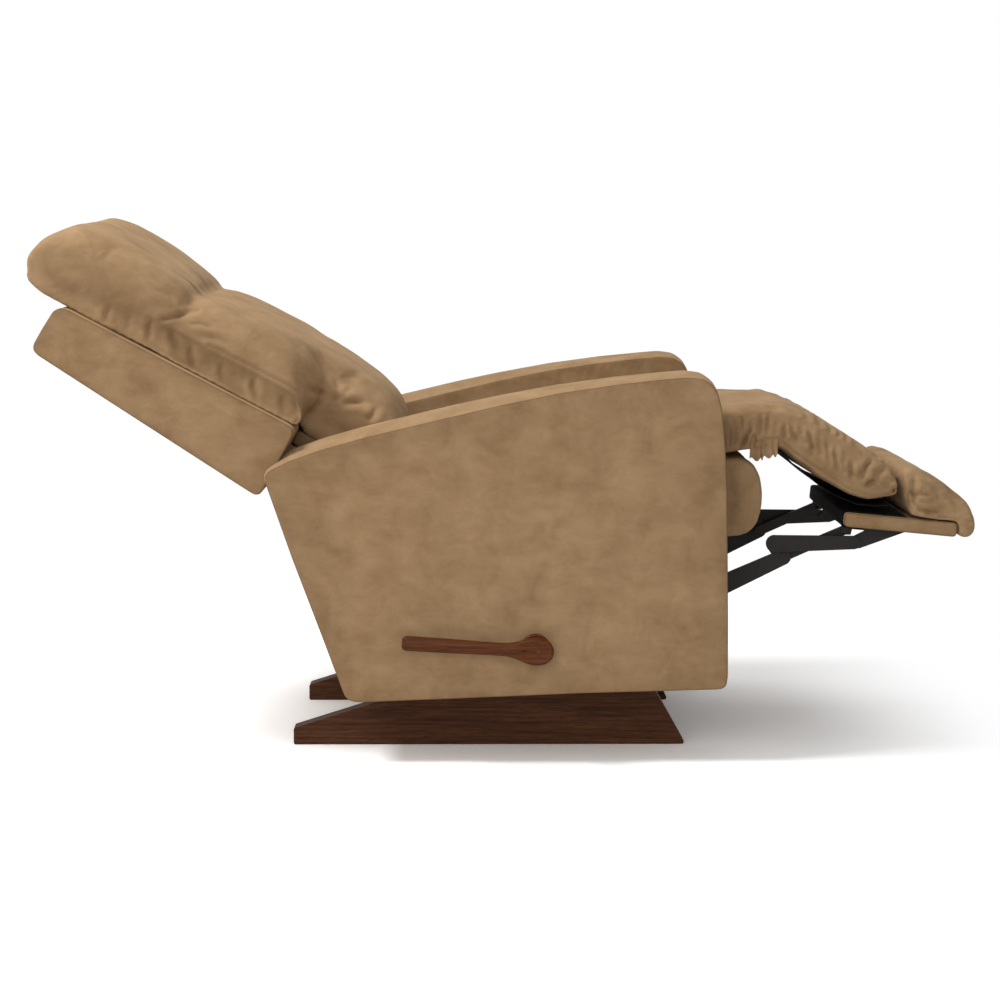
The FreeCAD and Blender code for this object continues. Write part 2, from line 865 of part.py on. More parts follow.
def mechanism_plate():
    """A steel plate on the seat rail that carries the root pivot of the linkage."""
    rail_low = on_seat(0, -seat_rail_depth / 2)
    points = [
        (leg_root_x - plate_half_length, rail_low[1]), (leg_root_x + root_half_width, rail_low[1]),
        (leg_root_x + root_half_width, leg_root_z - root_half_width),
        (leg_root_x - root_half_width, leg_root_z - root_half_width),
    ]
    return prism(points, -plate_outer, -plate_inner, rivet_radius).cut(pin_hole(root, rivet_radius))


def long_link():
    """The wide cranked link from the seat to the knuckle."""
    upper = bar(root, elbow, root_half_width, long_link_half_width, -long_outer, -long_inner)
    lower = bar(elbow, tail, long_link_half_width, long_link_tail_half_width, -long_outer, -long_inner)
    end = bar(
        knuckle, tail, long_link_knuckle_half_width, long_link_tail_half_width,
        -long_outer, -long_inner,
    )
    link = upper.fuse(lower).fuse(end).removeSplitter()
    link = link.cut(pin_hole(root, rivet_radius + pin_gap))
    link = link.cut(rod(elbow, -long_outer - overrun, 0, cross_tube_radius))
    return link.cut(pin_hole(knuckle, rivet_radius)).cut(pin_hole(tail, rivet_radius))


def leg_cross_tube():
    return rod(elbow, -long_outer, long_outer, cross_tube_radius)


def short_link():
    """The link from the knuckle to the ottoman bracket."""
    link = bar(
        knuckle, foot, short_link_knuckle_half_width, short_link_half_width,
        -short_outer, -short_inner,
    )
    link = link.cut(pin_hole(knuckle, rivet_radius + pin_gap))
    return link.cut(pin_hole(foot, rivet_radius))


def cross_link():
    """The narrow link that crosses the short one and steadies the ottoman."""
    link = bar(
        tail, cross_end, cross_link_tail_half_width, cross_link_half_width,
        -cross_outer, -cross_inner,
    )
    link = link.cut(pin_hole(tail, rivet_radius + pin_gap))
    return link.cut(pin_hole(cross_end, rivet_radius))


def rivet(place, low, high):
    """A rivet across the layers from low to high, with a flat head outside."""
    shank = rod(place, -high, -low, rivet_radius)
    head = rod(place, -(high + rivet_head_height), -high, rivet_head_radius)
    return shank.fuse(head).removeSplitter()


# Ottoman


def ottoman_board():
    """The wooden board under the toe pad, wrapped in cover fabric."""
    length = (board_front_x - board_rear_x) / math.cos(board_angle)
    points = [
        on_board(0, 0), on_board(0, -board_thickness),
        on_board(length, -board_thickness), on_board(length, 0),
    ]
    return prism(points, -board_half_width, board_half_width, board_edge_radius)


def ottoman_bracket():
    """A steel bracket under the board, with an ear for each link."""
    low = -board_thickness
    flange_points = [
        on_board(flange_rear_run, low), on_board(flange_rear_run, low - flange_thickness),
        on_board(flange_front_run, low - flange_thickness), on_board(flange_front_run, low),
    ]
    flange = prism(flange_points, -long_outer, -(long_inner - flange_width))
    web_points = [
        (leg_foot_x - bracket_half_height, leg_foot_z), (leg_foot_x, leg_foot_z - bracket_half_height),
        (leg_foot_x + bracket_half_height, leg_foot_z - bracket_half_height),
        on_board(flange_front_run, low - flange_thickness), on_board(flange_front_run, low),
        on_board(ear_rear_run, low), (cross_end_x - cross_link_half_width, cross_end_z),
        (cross_end_x, cross_end_z - cross_link_half_width),
        (cross_end_x + cross_link_half_width, cross_end_z - cross_link_half_width),
        on_board(ear_front_run, low - ear_bridge), on_board(flange_rear_run, low - ear_bridge),
        (leg_foot_x, leg_foot_z + bracket_half_height),
    ]
    web = prism(web_points, -long_outer, -long_inner, rivet_head_height)
    shape = flange.fuse(web).removeSplitter()
    return shape.cut(pin_hole(foot, rivet_radius + pin_gap))


def toe_pad():
    """The padded end of the leg rest, which wraps the front of the board."""
    depth = toe_front_run - toe_rear_run
    height = toe_high_rise - toe_low_rise
    shares = [
        (0.150, 0.595), (0.022, 0.92), (0.086, 0.998), (0.377, 0.875), (0.545, 0.763), (0.707, 0.625),
        (0.863, 0.466), (0.961, 0.331), (0.999, 0.219), (0.981, 0.079), (0.922, 0.003),
        (0.866, 0.027), (0.854, 0.104),
    ]
    board_length = (board_front_x - board_rear_x) / math.cos(board_angle)
    rear = (toe_heel_run, seat_gap)
    middle = ((toe_heel_run + board_length) / 2, seat_gap)
    front = (board_length + 2 * seat_gap, seat_gap)
    round_end = [(toe_rear_run + a * depth, toe_low_rise + b * height) for a, b in shares]
    places = [rear] + round_end + [front, middle]
    centre = (toe_rear_run + depth / 2, seat_gap)
    return padded(places, centre, pad_half_width, on_board, pad_station_shares)


# Knee pad


def knee_points():
    depth = knee_front_x - knee_hinge_x
    height = knee_top_z - knee_bottom_z
    shares = [
        (0.01, 0.535), (0.148, 0.367), (0.325, 0.197), (0.46, 0.09), (0.608, 0.016), (0.768, 0.0),
        (0.942, 0.016), (0.930, 0.10), (0.869, 0.314), (0.840, 0.394), (0.768, 0.479), (0.641, 0.590),
        (0.527, 0.670), (0.426, 0.738), (0.325, 0.80), (0.13, 0.895), (0.022, 0.85), (-0.0048, 0.72),
    ]
    return [(knee_hinge_x + a * depth, knee_bottom_z + b * height) for a, b in shares]


def knee_pad():
    """The padded bridge under the calves, from the seat's front edge to the toe pad."""
    centre = ((knee_hinge_x + knee_front_x) / 2, (knee_top_z + knee_bottom_z) / 2)
    return padded(knee_points(), centre, pad_half_width, in_place, pad_station_shares)


def knee_lining():
    """The black cloth under the knee pad, which follows its underside."""
    under = knee_points()[:5]
    top = [Vector(x, 0, z - seat_gap) for x, z in under]
    low = [Vector(x, 0, z - seat_gap - lining_thickness) for x, z in under]
    edges = [stretch(*top[0:3]), stretch(*top[2:5]), Part.makeLine(top[4], low[4])]
    edges += [stretch(*low[4:1:-1]), stretch(*low[2::-1]), Part.makeLine(low[0], top[0])]
    return plate(Part.Wire(edges), -lining_half_width, lining_half_width)


# Back


def back_prism(points, y_low, y_high, radius=0.0):
    return prism([on_back(u, v) for u, v in points], y_low, y_high, radius)


def shell_points():
    return [
        (shell_foot_u, shell_foot_rear_v), (shell_foot_u, shell_front_v),
        (shell_top_u, shell_front_v), (shell_top_u, shell_top_rear_v),
    ]


def back_shell():
    """The upholstered outside of the back: a tray that is open towards the front."""
    wall = shell_thickness
    solid = back_prism(shell_points(), -shell_half_width, shell_half_width, shell_edge_radius)
    inner = shell_half_width - wall
    hollow = back_prism(
        [
            (shell_foot_u + wall, shell_foot_rear_v + wall), (shell_foot_u + wall, shell_front_v + overrun),
            (shell_top_u - wall, shell_front_v + overrun), (shell_top_u - wall, shell_top_rear_v + wall),
        ],
        -inner, inner,
    )
    stile_gap = stile_width + 2 * seat_gap
    low = stile_outer_half_width + seat_gap - stile_gap
    slot_foot = shell_foot_u - overrun
    slot_top = shell_foot_u + 2 * wall
    slot_rear = stile_rear_v - seat_gap
    slot_front = stile_rear_v + stile_depth + seat_gap
    slot = back_prism(
        [(slot_foot, slot_rear), (slot_top, slot_rear), (slot_top, slot_front), (slot_foot, slot_front)],
        -(low + stile_gap), -low,
    )
    return solid.cut(hollow).cut(slot).cut(mirrored(slot))


def back_front_panel():
    """The board that closes the front of the back shell and carries the cushions."""
    wall = shell_thickness + seat_gap
    front = shell_front_v
    points = [
        (shell_foot_u + wall, front - front_panel_thickness), (shell_foot_u + wall, front),
        (shell_top_u - wall, front), (shell_top_u - wall, front - front_panel_thickness),
    ]
    half = shell_half_width - wall
    return back_prism(points, -half, half)


def back_stile():
    points = [
        (stile_foot_u, stile_rear_v), (stile_foot_u, stile_rear_v + stile_depth),
        (stile_top_u, stile_rear_v + stile_depth), (stile_top_u, stile_rear_v),
    ]
    inner = stile_outer_half_width - stile_width
    return back_prism(points, -stile_outer_half_width, -inner)


def back_rails():
    """Three wooden rails between the stiles."""
    inner = stile_outer_half_width - stile_width
    solids = []
    for k in range(3):
        low = back_rail_foot_u + k * back_rail_pitch
        rear = stile_rear_v + stile_depth - back_rail_depth
        points = [
            (low, rear), (low, rear + back_rail_depth),
            (low + back_rail_height, rear + back_rail_depth), (low + back_rail_height, rear),
        ]
        solids.append(back_prism(points, -inner, inner))
    return solids


def lower_back_pad():
    """The padded panel under the shell, behind the lower end of the cushion."""
    front = cushion_base_v - seat_gap
    points = [
        (cushion_foot_u, lower_pad_rear_v), (cushion_foot_u, front),
        (shell_foot_u - seat_gap, front), (shell_foot_u - seat_gap, lower_pad_rear_v),
    ]
    half = stile_outer_half_width - seat_gap
    return back_prism(points, -half, half, shell_edge_radius)


def back_cushion():
    """The large lumbar cushion: a tail between the arms, and wings that spread over them."""
    depth = cushion_front_v - cushion_base_v
    tail_length = tail_top_u - cushion_foot_u
    tail_shares = [
        (0.02, 0.004), (0.0, 0.25), (0.03, 0.48), (0.11, 0.67), (0.226, 0.80), (0.384, 0.90),
        (0.61, 0.975), (0.80, 0.95), (0.93, 0.80), (1.0, 0.45), (0.96, 0.001), (0.5, 0.003),
    ]
    wing_length = cushion_top_u - wing_foot_u
    wing_shares = [
        (0.04, 0.0), (0.0, 0.20), (0.0, 0.55), (0.03, 0.78), (0.10, 0.93), (0.21, 0.985),
        (0.36, 1.0), (0.60, 0.995), (0.78, 0.955), (0.90, 0.87), (0.975, 0.66), (1.0, 0.36),
        (0.96, 0.0), (0.5, 0.001),
    ]
    tail = [(cushion_foot_u + a * tail_length, cushion_base_v + b * depth) for a, b in tail_shares]
    wing = [(wing_foot_u + a * wing_length, cushion_base_v + b * depth) for a, b in wing_shares]
    tail_centre = (cushion_foot_u + tail_length / 2, cushion_base_v)
    wing_centre = (wing_foot_u + wing_length / 2, cushion_base_v)
    middle = padded(tail, tail_centre, back_half_width, on_back, pad_station_shares)
    wings = padded(wing, wing_centre, wing_half_width, on_back, wing_station_shares)
    return wings.fuse(middle)


def head_pillow():
    """The head pillow, which hangs over the top of the shell."""
    length = pillow_top_u - pillow_foot_u
    depth = pillow_front_v - pillow_base_v
    shares = [
        (0.0, 0.18), (0.0, 0.50), (0.04, 0.76), (0.14, 0.90), (0.28, 0.97), (0.44, 1.0),
        (0.60, 0.995), (0.74, 0.965), (0.86, 0.86), (0.955, 0.66), (1.0, 0.34), (0.985, 0.08),
        (0.90, -0.02), (0.76, 0.0), (0.60, 0.0), (0.30, 0.001), (0.03, 0.0), (0.01, 0.06),
    ]
    places = [(pillow_foot_u + a * length, pillow_base_v + b * depth) for a, b in shares]
    centre = (pillow_foot_u + length / 2, pillow_base_v)
    return padded(places, centre, wing_half_width, on_back, wing_station_shares)


def back_hinge_plate():
    """A steel plate on the stile that turns on the pin in the arm."""
    low = stile_outer_half_width
    half = back_plate_width / 2
    far = low + back_plate_thickness
    steel = bar(on_back(0, 0), on_back(-back_plate_length, 0), half, half, -far, -low)
    return steel.cut(rod((back_pivot_x, back_pivot_z), -arm_outer_half_width, 0, back_pin_radius + pin_gap))


def back_pin():
    low = stile_outer_half_width + seat_gap
    return rod((back_pivot_x, back_pivot_z), -(low + back_pin_length), -low, back_pin_radius)


# Writing the pieces


def save(name, shape):
    shape.exportStep("parts/" + name + ".step")
    state = "valid" if shape.isValid() else "NOT VALID"
    print(name, len(shape.Solids), "solids", round(shape.Volume), "mm3", state)


def save_sides(name, shape):
    save(name + "_right", shape)
    save(name + "_left", mirrored(shape))


os.makedirs("parts", exist_ok=True)

corners = corner_places()
rail = base_rail()
for hole in screw_holes():
    rail = rail.cut(hole)
save_sides("base_rail", rail)
for name, x in (("base_cross_rail_front", cross_rail_front_x), ("base_cross_rail_rear", cross_rail_rear_x)):
    wood = cross_rail(x)
    for hole in screw_holes():
        wood = wood.cut(hole).cut(mirrored(hole))
    save(name, wood)
angles = [corner_angle(x, way) for x, way in corners]
save("base_corner_angles", group(angles + [mirrored(s) for s in angles]))
screws = [s for x, way in corners for s in corner_screws(x, way)]
save("base_angle_screws", group(screws + [mirrored(s) for s in screws]))
save("spring_brackets_lower", pair(low_bracket()))
save("spring_brackets_upper", pair(high_bracket()))
save("rocker_springs", group(rocker_springs()))
save("rocker_blocks", pair(rocker_block()))

save("body_side_rails", pair(body_side_rail()))
save("body_cross_rail_front", body_cross_rail(body_rail_front_x - body_cross_depth, body_rail_height))
save("body_cross_rail_rear", body_cross_rail(body_rail_rear_x, body_rear_height))
end_blocks = [body_end_block(body_rail_front_x - body_cross_depth), body_end_block(body_rail_rear_x)]
save("body_glue_blocks", group(end_blocks + [mirrored(s) for s in end_blocks]))

clear_hole = shaft_hole(shaft_radius + pin_gap)
pin_hole_shape = back_pin()
outer_cover = arm_cover(False)
inner_cover = arm_cover(True).cut(pin_hole_shape)
frame = arm_frame().cut(pin_hole_shape)
save("arm_outer_cover_right", outer_cover.cut(clear_hole))
save("arm_outer_cover_left", mirrored(outer_cover))
save("arm_inner_cover_right", inner_cover.cut(clear_hole))
save("arm_inner_cover_left", mirrored(inner_cover))
save("arm_frame_right", frame.cut(clear_hole))
save("arm_frame_left", mirrored(frame))
save_sides("arm_top_pad", arm_top_pad())

save("drive_shaft", drive_shaft())
save("shaft_bearings", pair(shaft_bearing()))
save("drive_cranks", pair(drive_crank()))
save("handle_boss", handle_boss())
save("handle_lever", handle_lever())
save("handle_screw", handle_screw())

save_sides("seat_side_rail", seat_side_rail())
save("seat_cross_rail_front", seat_cross_rail(0))
save("seat_cross_rail_rear", seat_cross_rail(seat_rail_length - seat_cross_thickness))
save("seat_springs", group(seat_springs()))
save("seat_cushion", seat_cushion())
save("seat_front_roll", seat_front_roll())
save("seat_runners", pair(seat_cleat()))
save("seat_glides", seat_glides())
save("mechanism_plates", pair(mechanism_plate()))

save_sides("long_link", long_link())
save("leg_cross_tube", leg_cross_tube())
save("short_links", pair(short_link()))
save("cross_links", pair(cross_link()))
save("root_rivets", pair(rivet(root, plate_inner, long_outer)))
save("knuckle_rivets", group([
    rivet(knuckle, long_inner, short_outer), mirrored(rivet(knuckle, long_inner, short_outer)),
    rivet(tail, cross_inner, long_outer), mirrored(rivet(tail, cross_inner, long_outer)),
]))
save("foot_rivets", pair(rivet(foot, long_inner, short_outer)))

save("ottoman_board", ottoman_board())
save("ottoman_brackets", pair(ottoman_bracket()))
save("toe_pad", toe_pad())
save("knee_pad", knee_pad())
save("knee_pad_lining", knee_lining())

save("back_shell", back_shell())
save("back_front_panel", back_front_panel())
save("back_stiles", pair(back_stile()))
save("back_rails", group(back_rails()))
save("lower_back_pad", lower_back_pad())
save("back_cushion", back_cushion())
save("head_pillow", head_pillow())
save("back_hinge_plates", pair(back_hinge_plate()))
save("back_pivot_pins", pair(pin_hole_shape))
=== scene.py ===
import bpy
import json
import math
import numpy as np
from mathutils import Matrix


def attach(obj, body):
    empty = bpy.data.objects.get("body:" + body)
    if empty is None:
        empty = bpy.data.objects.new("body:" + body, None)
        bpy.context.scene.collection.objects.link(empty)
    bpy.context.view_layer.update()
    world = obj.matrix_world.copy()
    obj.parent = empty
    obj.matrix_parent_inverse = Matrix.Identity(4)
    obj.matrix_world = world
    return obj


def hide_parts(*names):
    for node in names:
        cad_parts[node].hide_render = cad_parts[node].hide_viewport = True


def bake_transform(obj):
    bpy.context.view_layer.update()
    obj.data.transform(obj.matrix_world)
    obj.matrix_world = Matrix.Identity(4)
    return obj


# Rocker recliner in tan microfibre, fully reclined. Shapes are worked out in millimetres,
# X forward, Z up, the right-hand side at negative Y, and become metres in makePiece.

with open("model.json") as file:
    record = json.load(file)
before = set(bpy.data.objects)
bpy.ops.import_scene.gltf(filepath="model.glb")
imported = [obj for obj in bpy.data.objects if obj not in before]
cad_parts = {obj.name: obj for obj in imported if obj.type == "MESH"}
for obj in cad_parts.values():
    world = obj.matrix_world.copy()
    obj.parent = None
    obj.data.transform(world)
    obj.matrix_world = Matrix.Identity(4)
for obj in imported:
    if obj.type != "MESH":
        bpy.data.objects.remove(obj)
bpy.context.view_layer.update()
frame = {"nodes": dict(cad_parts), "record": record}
print("frame loaded:", len(frame["nodes"]), "nodes")

mm = 0.001
fullTurn = 2 * math.pi


def tone(red, green, blue):
    # an sRGB colour of 0 to 255 as linear values
    c = np.array([red, green, blue]) / 255
    return tuple(np.where(c < 0.04045, c / 12.92, ((c + 0.055) / 1.055) ** 2.4)) + (1.0,)


def step(low, high, x):
    # smooth rise from 0 at low to 1 at high
    t = np.clip((x - low) / (high - low), 0, 1)
    return t * t * (3 - 2 * t)


def bell(x):
    # exp(-x^2): 1 at 0, next to nothing beyond 2
    return np.exp(-x ** 2)


def waves(p, length, seed, count=7):
    # sum of cosines in random directions, about -1 to 1, whose wavelength is near length
    draw = np.random.default_rng(seed)
    aim = draw.normal(size=(count, 3))
    aim *= (fullTurn / length * draw.uniform(0.6, 1.5, count) / np.linalg.norm(aim, axis=1))[:, None]
    return np.cos(p @ aim.T + draw.uniform(0, fullTurn, count)).sum(1) / math.sqrt(count)


def ringThrough(points, count, softness):
    # closed path: straight runs between the points, resampled evenly, then blurred by a Gaussian
    # whose width is softness, as a product of its Fourier series
    p = np.array(points, float)
    p = np.vstack([p, p[:1]])
    run = np.concatenate([[0], np.cumsum(np.linalg.norm(np.diff(p, axis=0), axis=1))])
    at = np.linspace(0, run[-1], count, endpoint=False)
    even = np.stack([np.interp(at, run, p[:, k]) for k in range(p.shape[1])], 1)
    wave = np.fft.fftfreq(count, run[-1] / count)
    blur = np.exp(-2 * (math.pi * wave * softness) ** 2)
    return np.fft.ifft(np.fft.fft(even, axis=0) * blur[:, None], axis=0).real


def ringNormals(ring):
    # outward unit normals of a closed path in a plane: the way between a point's neighbours, turned
    # by a quarter
    along = np.roll(ring, -1, 0) - np.roll(ring, 1, 0)
    out = np.stack([along[:, 1], -along[:, 0]], 1)
    area = (ring[:, 0] * np.roll(ring[:, 1], -1) - ring[:, 1] * np.roll(ring[:, 0], -1)).sum()
    return out / np.linalg.norm(out, axis=1)[:, None] * np.sign(area)


def blurRing(values, sigma):
    # circular Gaussian blur of one value per point, sigma counted in points
    wave = np.fft.fftfreq(len(values))
    return np.fft.ifft(np.fft.fft(values) * np.exp(-2 * (math.pi * wave * sigma) ** 2)).real


def alongLine(p, line):
    # distance from each point to a polyline, and how far along it the nearest place is, 0 to 1
    line = np.array(line, float)
    lengths = np.linalg.norm(np.diff(line, axis=0), axis=1)
    best, where, done = np.full(len(p), 1e9), np.zeros(len(p)), 0.0
    for a, b, length in zip(line[:-1], line[1:], lengths):
        t = np.clip((p - a) @ (b - a) / length ** 2, 0, 1)
        d = np.linalg.norm(p - a - t[:, None] * (b - a), axis=1)
        where = np.where(d < best, (done + t * length) / lengths.sum(), where)
        best = np.minimum(best, d)
        done += length
    return best, where


# the ridges beside a sewn line or a fold: their height in depths, their place and width in widths
seamRidge = {"high": 0.35, "at": 3.2, "wide": 1.6}
foldRidge = {"high": 0.55, "at": 2.6, "wide": 1.5}
foldLook = {"unlike": 0.35, "beat": 2.4, "fadeIn": (0, 0.3), "fadeOut": (1, 0.65)}


def valley(distance, width, ridge):
    # -bell(distance / width), and a lower bell on each side of it
    away = (distance - ridge["at"] * width) / (ridge["wide"] * width)
    return ridge["high"] * bell(away) - bell(distance / width)


def groove(p, line, depth, width):
    # a sewn line: one valley of even depth
    return depth * valley(alongLine(p, line)[0], width, seamRidge)


def creases(p, lines, depth, width):
    # folds of cloth: each line is a valley that fades at its ends, and no two are equally deep
    total = np.zeros(len(p))
    for number, line in enumerate(lines):
        distance, where = alongLine(p, line)
        size = 1 + foldLook["unlike"] * math.sin(foldLook["beat"] * number)
        fade = step(*foldLook["fadeIn"], where) * step(*foldLook["fadeOut"], where)
        total += depth * size * fade * valley(distance, width, foldRidge)
    return total


def shellFaces(rows, columns):
    # quads between closed rings, and a fan at each end
    # vertex 0 is the first pole, the last vertex the other
    r, c = np.meshgrid(np.arange(rows - 1), np.arange(columns), indexing="ij")
    a = 1 + r * columns + c
    b = 1 + r * columns + (c + 1) % columns
    quads = np.stack([a, b, b + columns, a + columns], -1).reshape(-1, 4).tolist()
    here = np.arange(columns)
    onward = (here + 1) % columns
    last = 1 + (rows - 1) * columns
    start = np.stack([np.zeros(columns, int), onward + 1, here + 1], 1).tolist()
    end = np.stack([np.full(columns, last + columns), here + last, onward + last], 1).tolist()
    return start + quads + end


def makePiece(name, points, faces, material):
    # points in millimetres become a smooth mesh in metres, turned outward if its volume is negative
    points = np.asarray(points, float) * mm
    mesh = bpy.data.meshes.new(name)
    mesh.from_pydata(points, [], faces)
    corners = [(f[0], f[k], f[k + 1]) for f in faces for k in range(1, len(f) - 1)]
    t = points[np.array(corners)]
    if (np.cross(t[:, 0], t[:, 1]) * t[:, 2]).sum() < 0:
        mesh.flip_normals()
    mesh.shade_smooth()
    mesh.materials.append(material)
    piece = bpy.data.objects.new(name, mesh)
    bpy.context.scene.collection.objects.link(piece)
    return piece


def shellPoints(rings):
    # the rings' points between two poles, the middles of the first and the last ring
    rings = np.asarray(rings, float)
    return np.vstack([rings[0].mean(0)[None], rings.reshape(-1, 3), rings[-1].mean(0)[None]])


def makeShells(name, shells, material):
    # one or more closed lofts in one mesh
    points, faces = [], []
    for rings in shells:
        base = sum(len(p) for p in points)
        points.append(shellPoints(rings))
        faces += [[i + base for i in f] for f in shellFaces(*np.shape(rings)[:2])]
    return makePiece(name, np.vstack(points), faces, material)


def readPoints(piece):
    # the mesh's points in millimetres
    p = np.empty(len(piece.data.vertices) * 3)
    piece.data.vertices.foreach_get("co", p)
    return p.reshape(-1, 3) / mm


def readNormals(piece):
    n = np.empty(len(piece.data.vertices) * 3)
    piece.data.vertices.foreach_get("normal", n)
    return n.reshape(-1, 3)


def writePoints(piece, p):
    piece.data.vertices.foreach_set("co", (p * mm).ravel())
    piece.data.update()


def bake(piece):
    # the piece's modifiers become its mesh
    graph = bpy.context.evaluated_depsgraph_get()
    solid = bpy.data.meshes.new_from_object(piece.evaluated_get(graph))
    piece.modifiers.clear()
    piece.data = solid
    piece.data.shade_smooth()


clothFrames = 20
clothLook = {
    "quality": 4,
    "mass": 0.25,
    "tension_stiffness": 12,
    "compression_stiffness": 6,
    "shear_stiffness": 4,
    "bending_stiffness": 0.6,
    "use_pressure": True,
}


def swell(piece, look, loose):
    # even quads, then cloth under pressure; loose says how far each point may follow it
    # the way moved is cap tanh(way / cap), so it never passes cap
    remesh = piece.modifiers.new("even", "REMESH")
    remesh.mode = "VOXEL"
    remesh.voxel_size = look["voxel"] * mm
    bake(piece)
    start = readPoints(piece)
    cloth = piece.modifiers.new("cloth", "CLOTH")
    for key, value in clothLook.items():
        setattr(cloth.settings, key, value)
    cloth.settings.uniform_pressure_force = look["pressure"]
    cloth.settings.effector_weights.gravity = 0
    cloth.point_cache.frame_start = 1
    cloth.point_cache.frame_end = clothFrames
    for number in range(1, clothFrames + 1):
        bpy.context.scene.frame_set(number)
    bake(piece)
    bpy.context.scene.frame_set(1)
    move = readPoints(piece) - start
    far = np.linalg.norm(move, axis=1) + 1e-9
    cap = look["cap"]
    move *= (cap * np.tanh(far / cap) / far * loose(start))[:, None]
    writePoints(piece, start + move)
    middle, most = round(float(far.mean()), 1), round(float(far.max()), 1)
    print("swelled", piece.name, "by", middle, "mm, at most", most)
    finer = piece.modifiers.new("finer", "SUBSURF")
    finer.levels = finer.render_levels = 1
    bake(piece)


def paintCreaseShade(piece, amount):
    # 1 where a seam or a fold is deepest, 0 on open cloth; the fabric is painted darker there, as shade in
    # the hollow
    layer = piece.data.attributes.new("paintedCreaseShade", "FLOAT", "POINT")
    layer.data.foreach_set("value", np.clip(amount, 0, 1).astype(np.float32))


# painted shade: a place pressed in by more than the first figure is painted darker, fully so the second
# figure further in
creaseShade = {"from": 1.6, "over": 8.5}


def press(piece, depth):
    # move each point along its normal by depth(points, normals), outward positive
    p, n = readPoints(piece), readNormals(piece)
    d = depth(p, n)
    writePoints(piece, p + n * d[:, None])
    # painted shade, the darker the deeper a point is pressed in
    paintCreaseShade(piece, (-d - creaseShade["from"]) / creaseShade["over"])


def seated(piece, body, *nodes):
    # the piece rides on body and stands in for the CAD nodes
    if nodes:
        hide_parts(*nodes)
    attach(piece, body)
    print("made", piece.name, len(piece.data.polygons), "faces")


def addNode(tree, kind, links=(), **values):
    # in_Some_Name sets the input Some Name, any other value a property; links are (output, input)
    node = tree.nodes.new(kind)
    for key, value in values.items():
        if key.startswith("in_"):
            node.inputs[key[3:].replace("_", " ")].default_value = value
        else:
            setattr(node, key, value)
    for source, target in links:
        tree.links.new(source, node.inputs[target])
    return node


def startMaterial(name, roughness, specular):
    # a new material with its tree, its shader and the object's coordinates
    material = bpy.data.materials.new(name)
    material.use_nodes = True
    tree = material.node_tree
    shader = tree.nodes["Principled BSDF"]
    shader.inputs["Roughness"].default_value = roughness
    shader.inputs["Specular IOR Level"].default_value = specular
    place = tree.nodes.new("ShaderNodeTexCoord").outputs["Object"]
    return material, tree, shader, place


def stretched(tree, place, scale):
    # the object's coordinates, scaled by a different amount each way
    return addNode(tree, "ShaderNodeMapping", [(place, "Vector")], in_Scale=scale).outputs["Vector"]


def noise(tree, place, scale, detail=2.0, roughness=0.5, distortion=0.0):
    # the looks below list a noise as (scale, detail, roughness, distortion)
    node = addNode(
        tree, "ShaderNodeTexNoise", [(place, "Vector")],
        in_Scale=scale, in_Detail=detail, in_Roughness=roughness, in_Distortion=distortion,
    )
    return node.outputs["Fac"]


def ramp(tree, fac, stops):
    # stops are (place, colour), in rising order
    node = addNode(tree, "ShaderNodeValToRGB", [(fac, "Fac")])
    bar = node.color_ramp
    while len(bar.elements) < len(stops):
        bar.elements.new(0.5)
    for element, (place, colour) in zip(bar.elements, stops):
        element.position = place
        element.color = colour
    return node.outputs["Color"]


def blendColours(tree, kind, amount, a, b):
    node = addNode(tree, "ShaderNodeMix", data_type="RGBA", blend_type=kind)
    node.inputs[0].default_value = amount
    tree.links.new(a, node.inputs[6])
    tree.links.new(b, node.inputs[7])
    return node.outputs[2]


def addBumps(tree, shader, bumps):
    # a chain of bumps, each (height, strength, distance in metres)
    normal = None
    for height, strength, distance in bumps:
        node = addNode(
            tree, "ShaderNodeBump", [(height, "Height")], in_Strength=strength, in_Distance=distance,
        )
        if normal:
            tree.links.new(normal, node.inputs["Normal"])
        normal = node.outputs["Normal"]
    tree.links.new(normal, shader.inputs["Normal"])


# a share says how much of a pattern's tones is laid over the colour below, a bump how strong and
# how deep in metres it is
white = tone(255, 255, 255)
fabricLook = {
    "roughness": 0.94,
    "specular": 0.12,
    "tones": [(0.30, tone(143, 114, 82)), (0.50, tone(155, 126, 93)), (0.70, tone(165, 136, 102))],
    "cloud": (15.0, 4.0, 0.6, 0.5),
    "smearStretch": (26.0, 26.0, 60.0),
    "smear": (1.0, 3.0, 0.6, 0.4),
    "smearTones": [(0.32, tone(240, 238, 235)), (0.62, white)],
    "smearShare": 0.8,
    "nap": (1400.0, 2.0, 0.6),
    "napTones": [(0.35, tone(234, 231, 227)), (0.6, white)],
    "napShare": 0.8,
    "napBump": (0.35, 0.0004),
    "soft": (60.0, 3.0, 0.6),
    "softBump": (0.3, 0.001),
    # painted shade in seams and folds, from none to darkest
    "paintedShadeTones": [(0.0, white), (1.0, tone(158, 142, 122))],
    "sheen": 0.14,
    "sheenRoughness": 0.5,
    "sheenTone": tone(240, 212, 172),
}


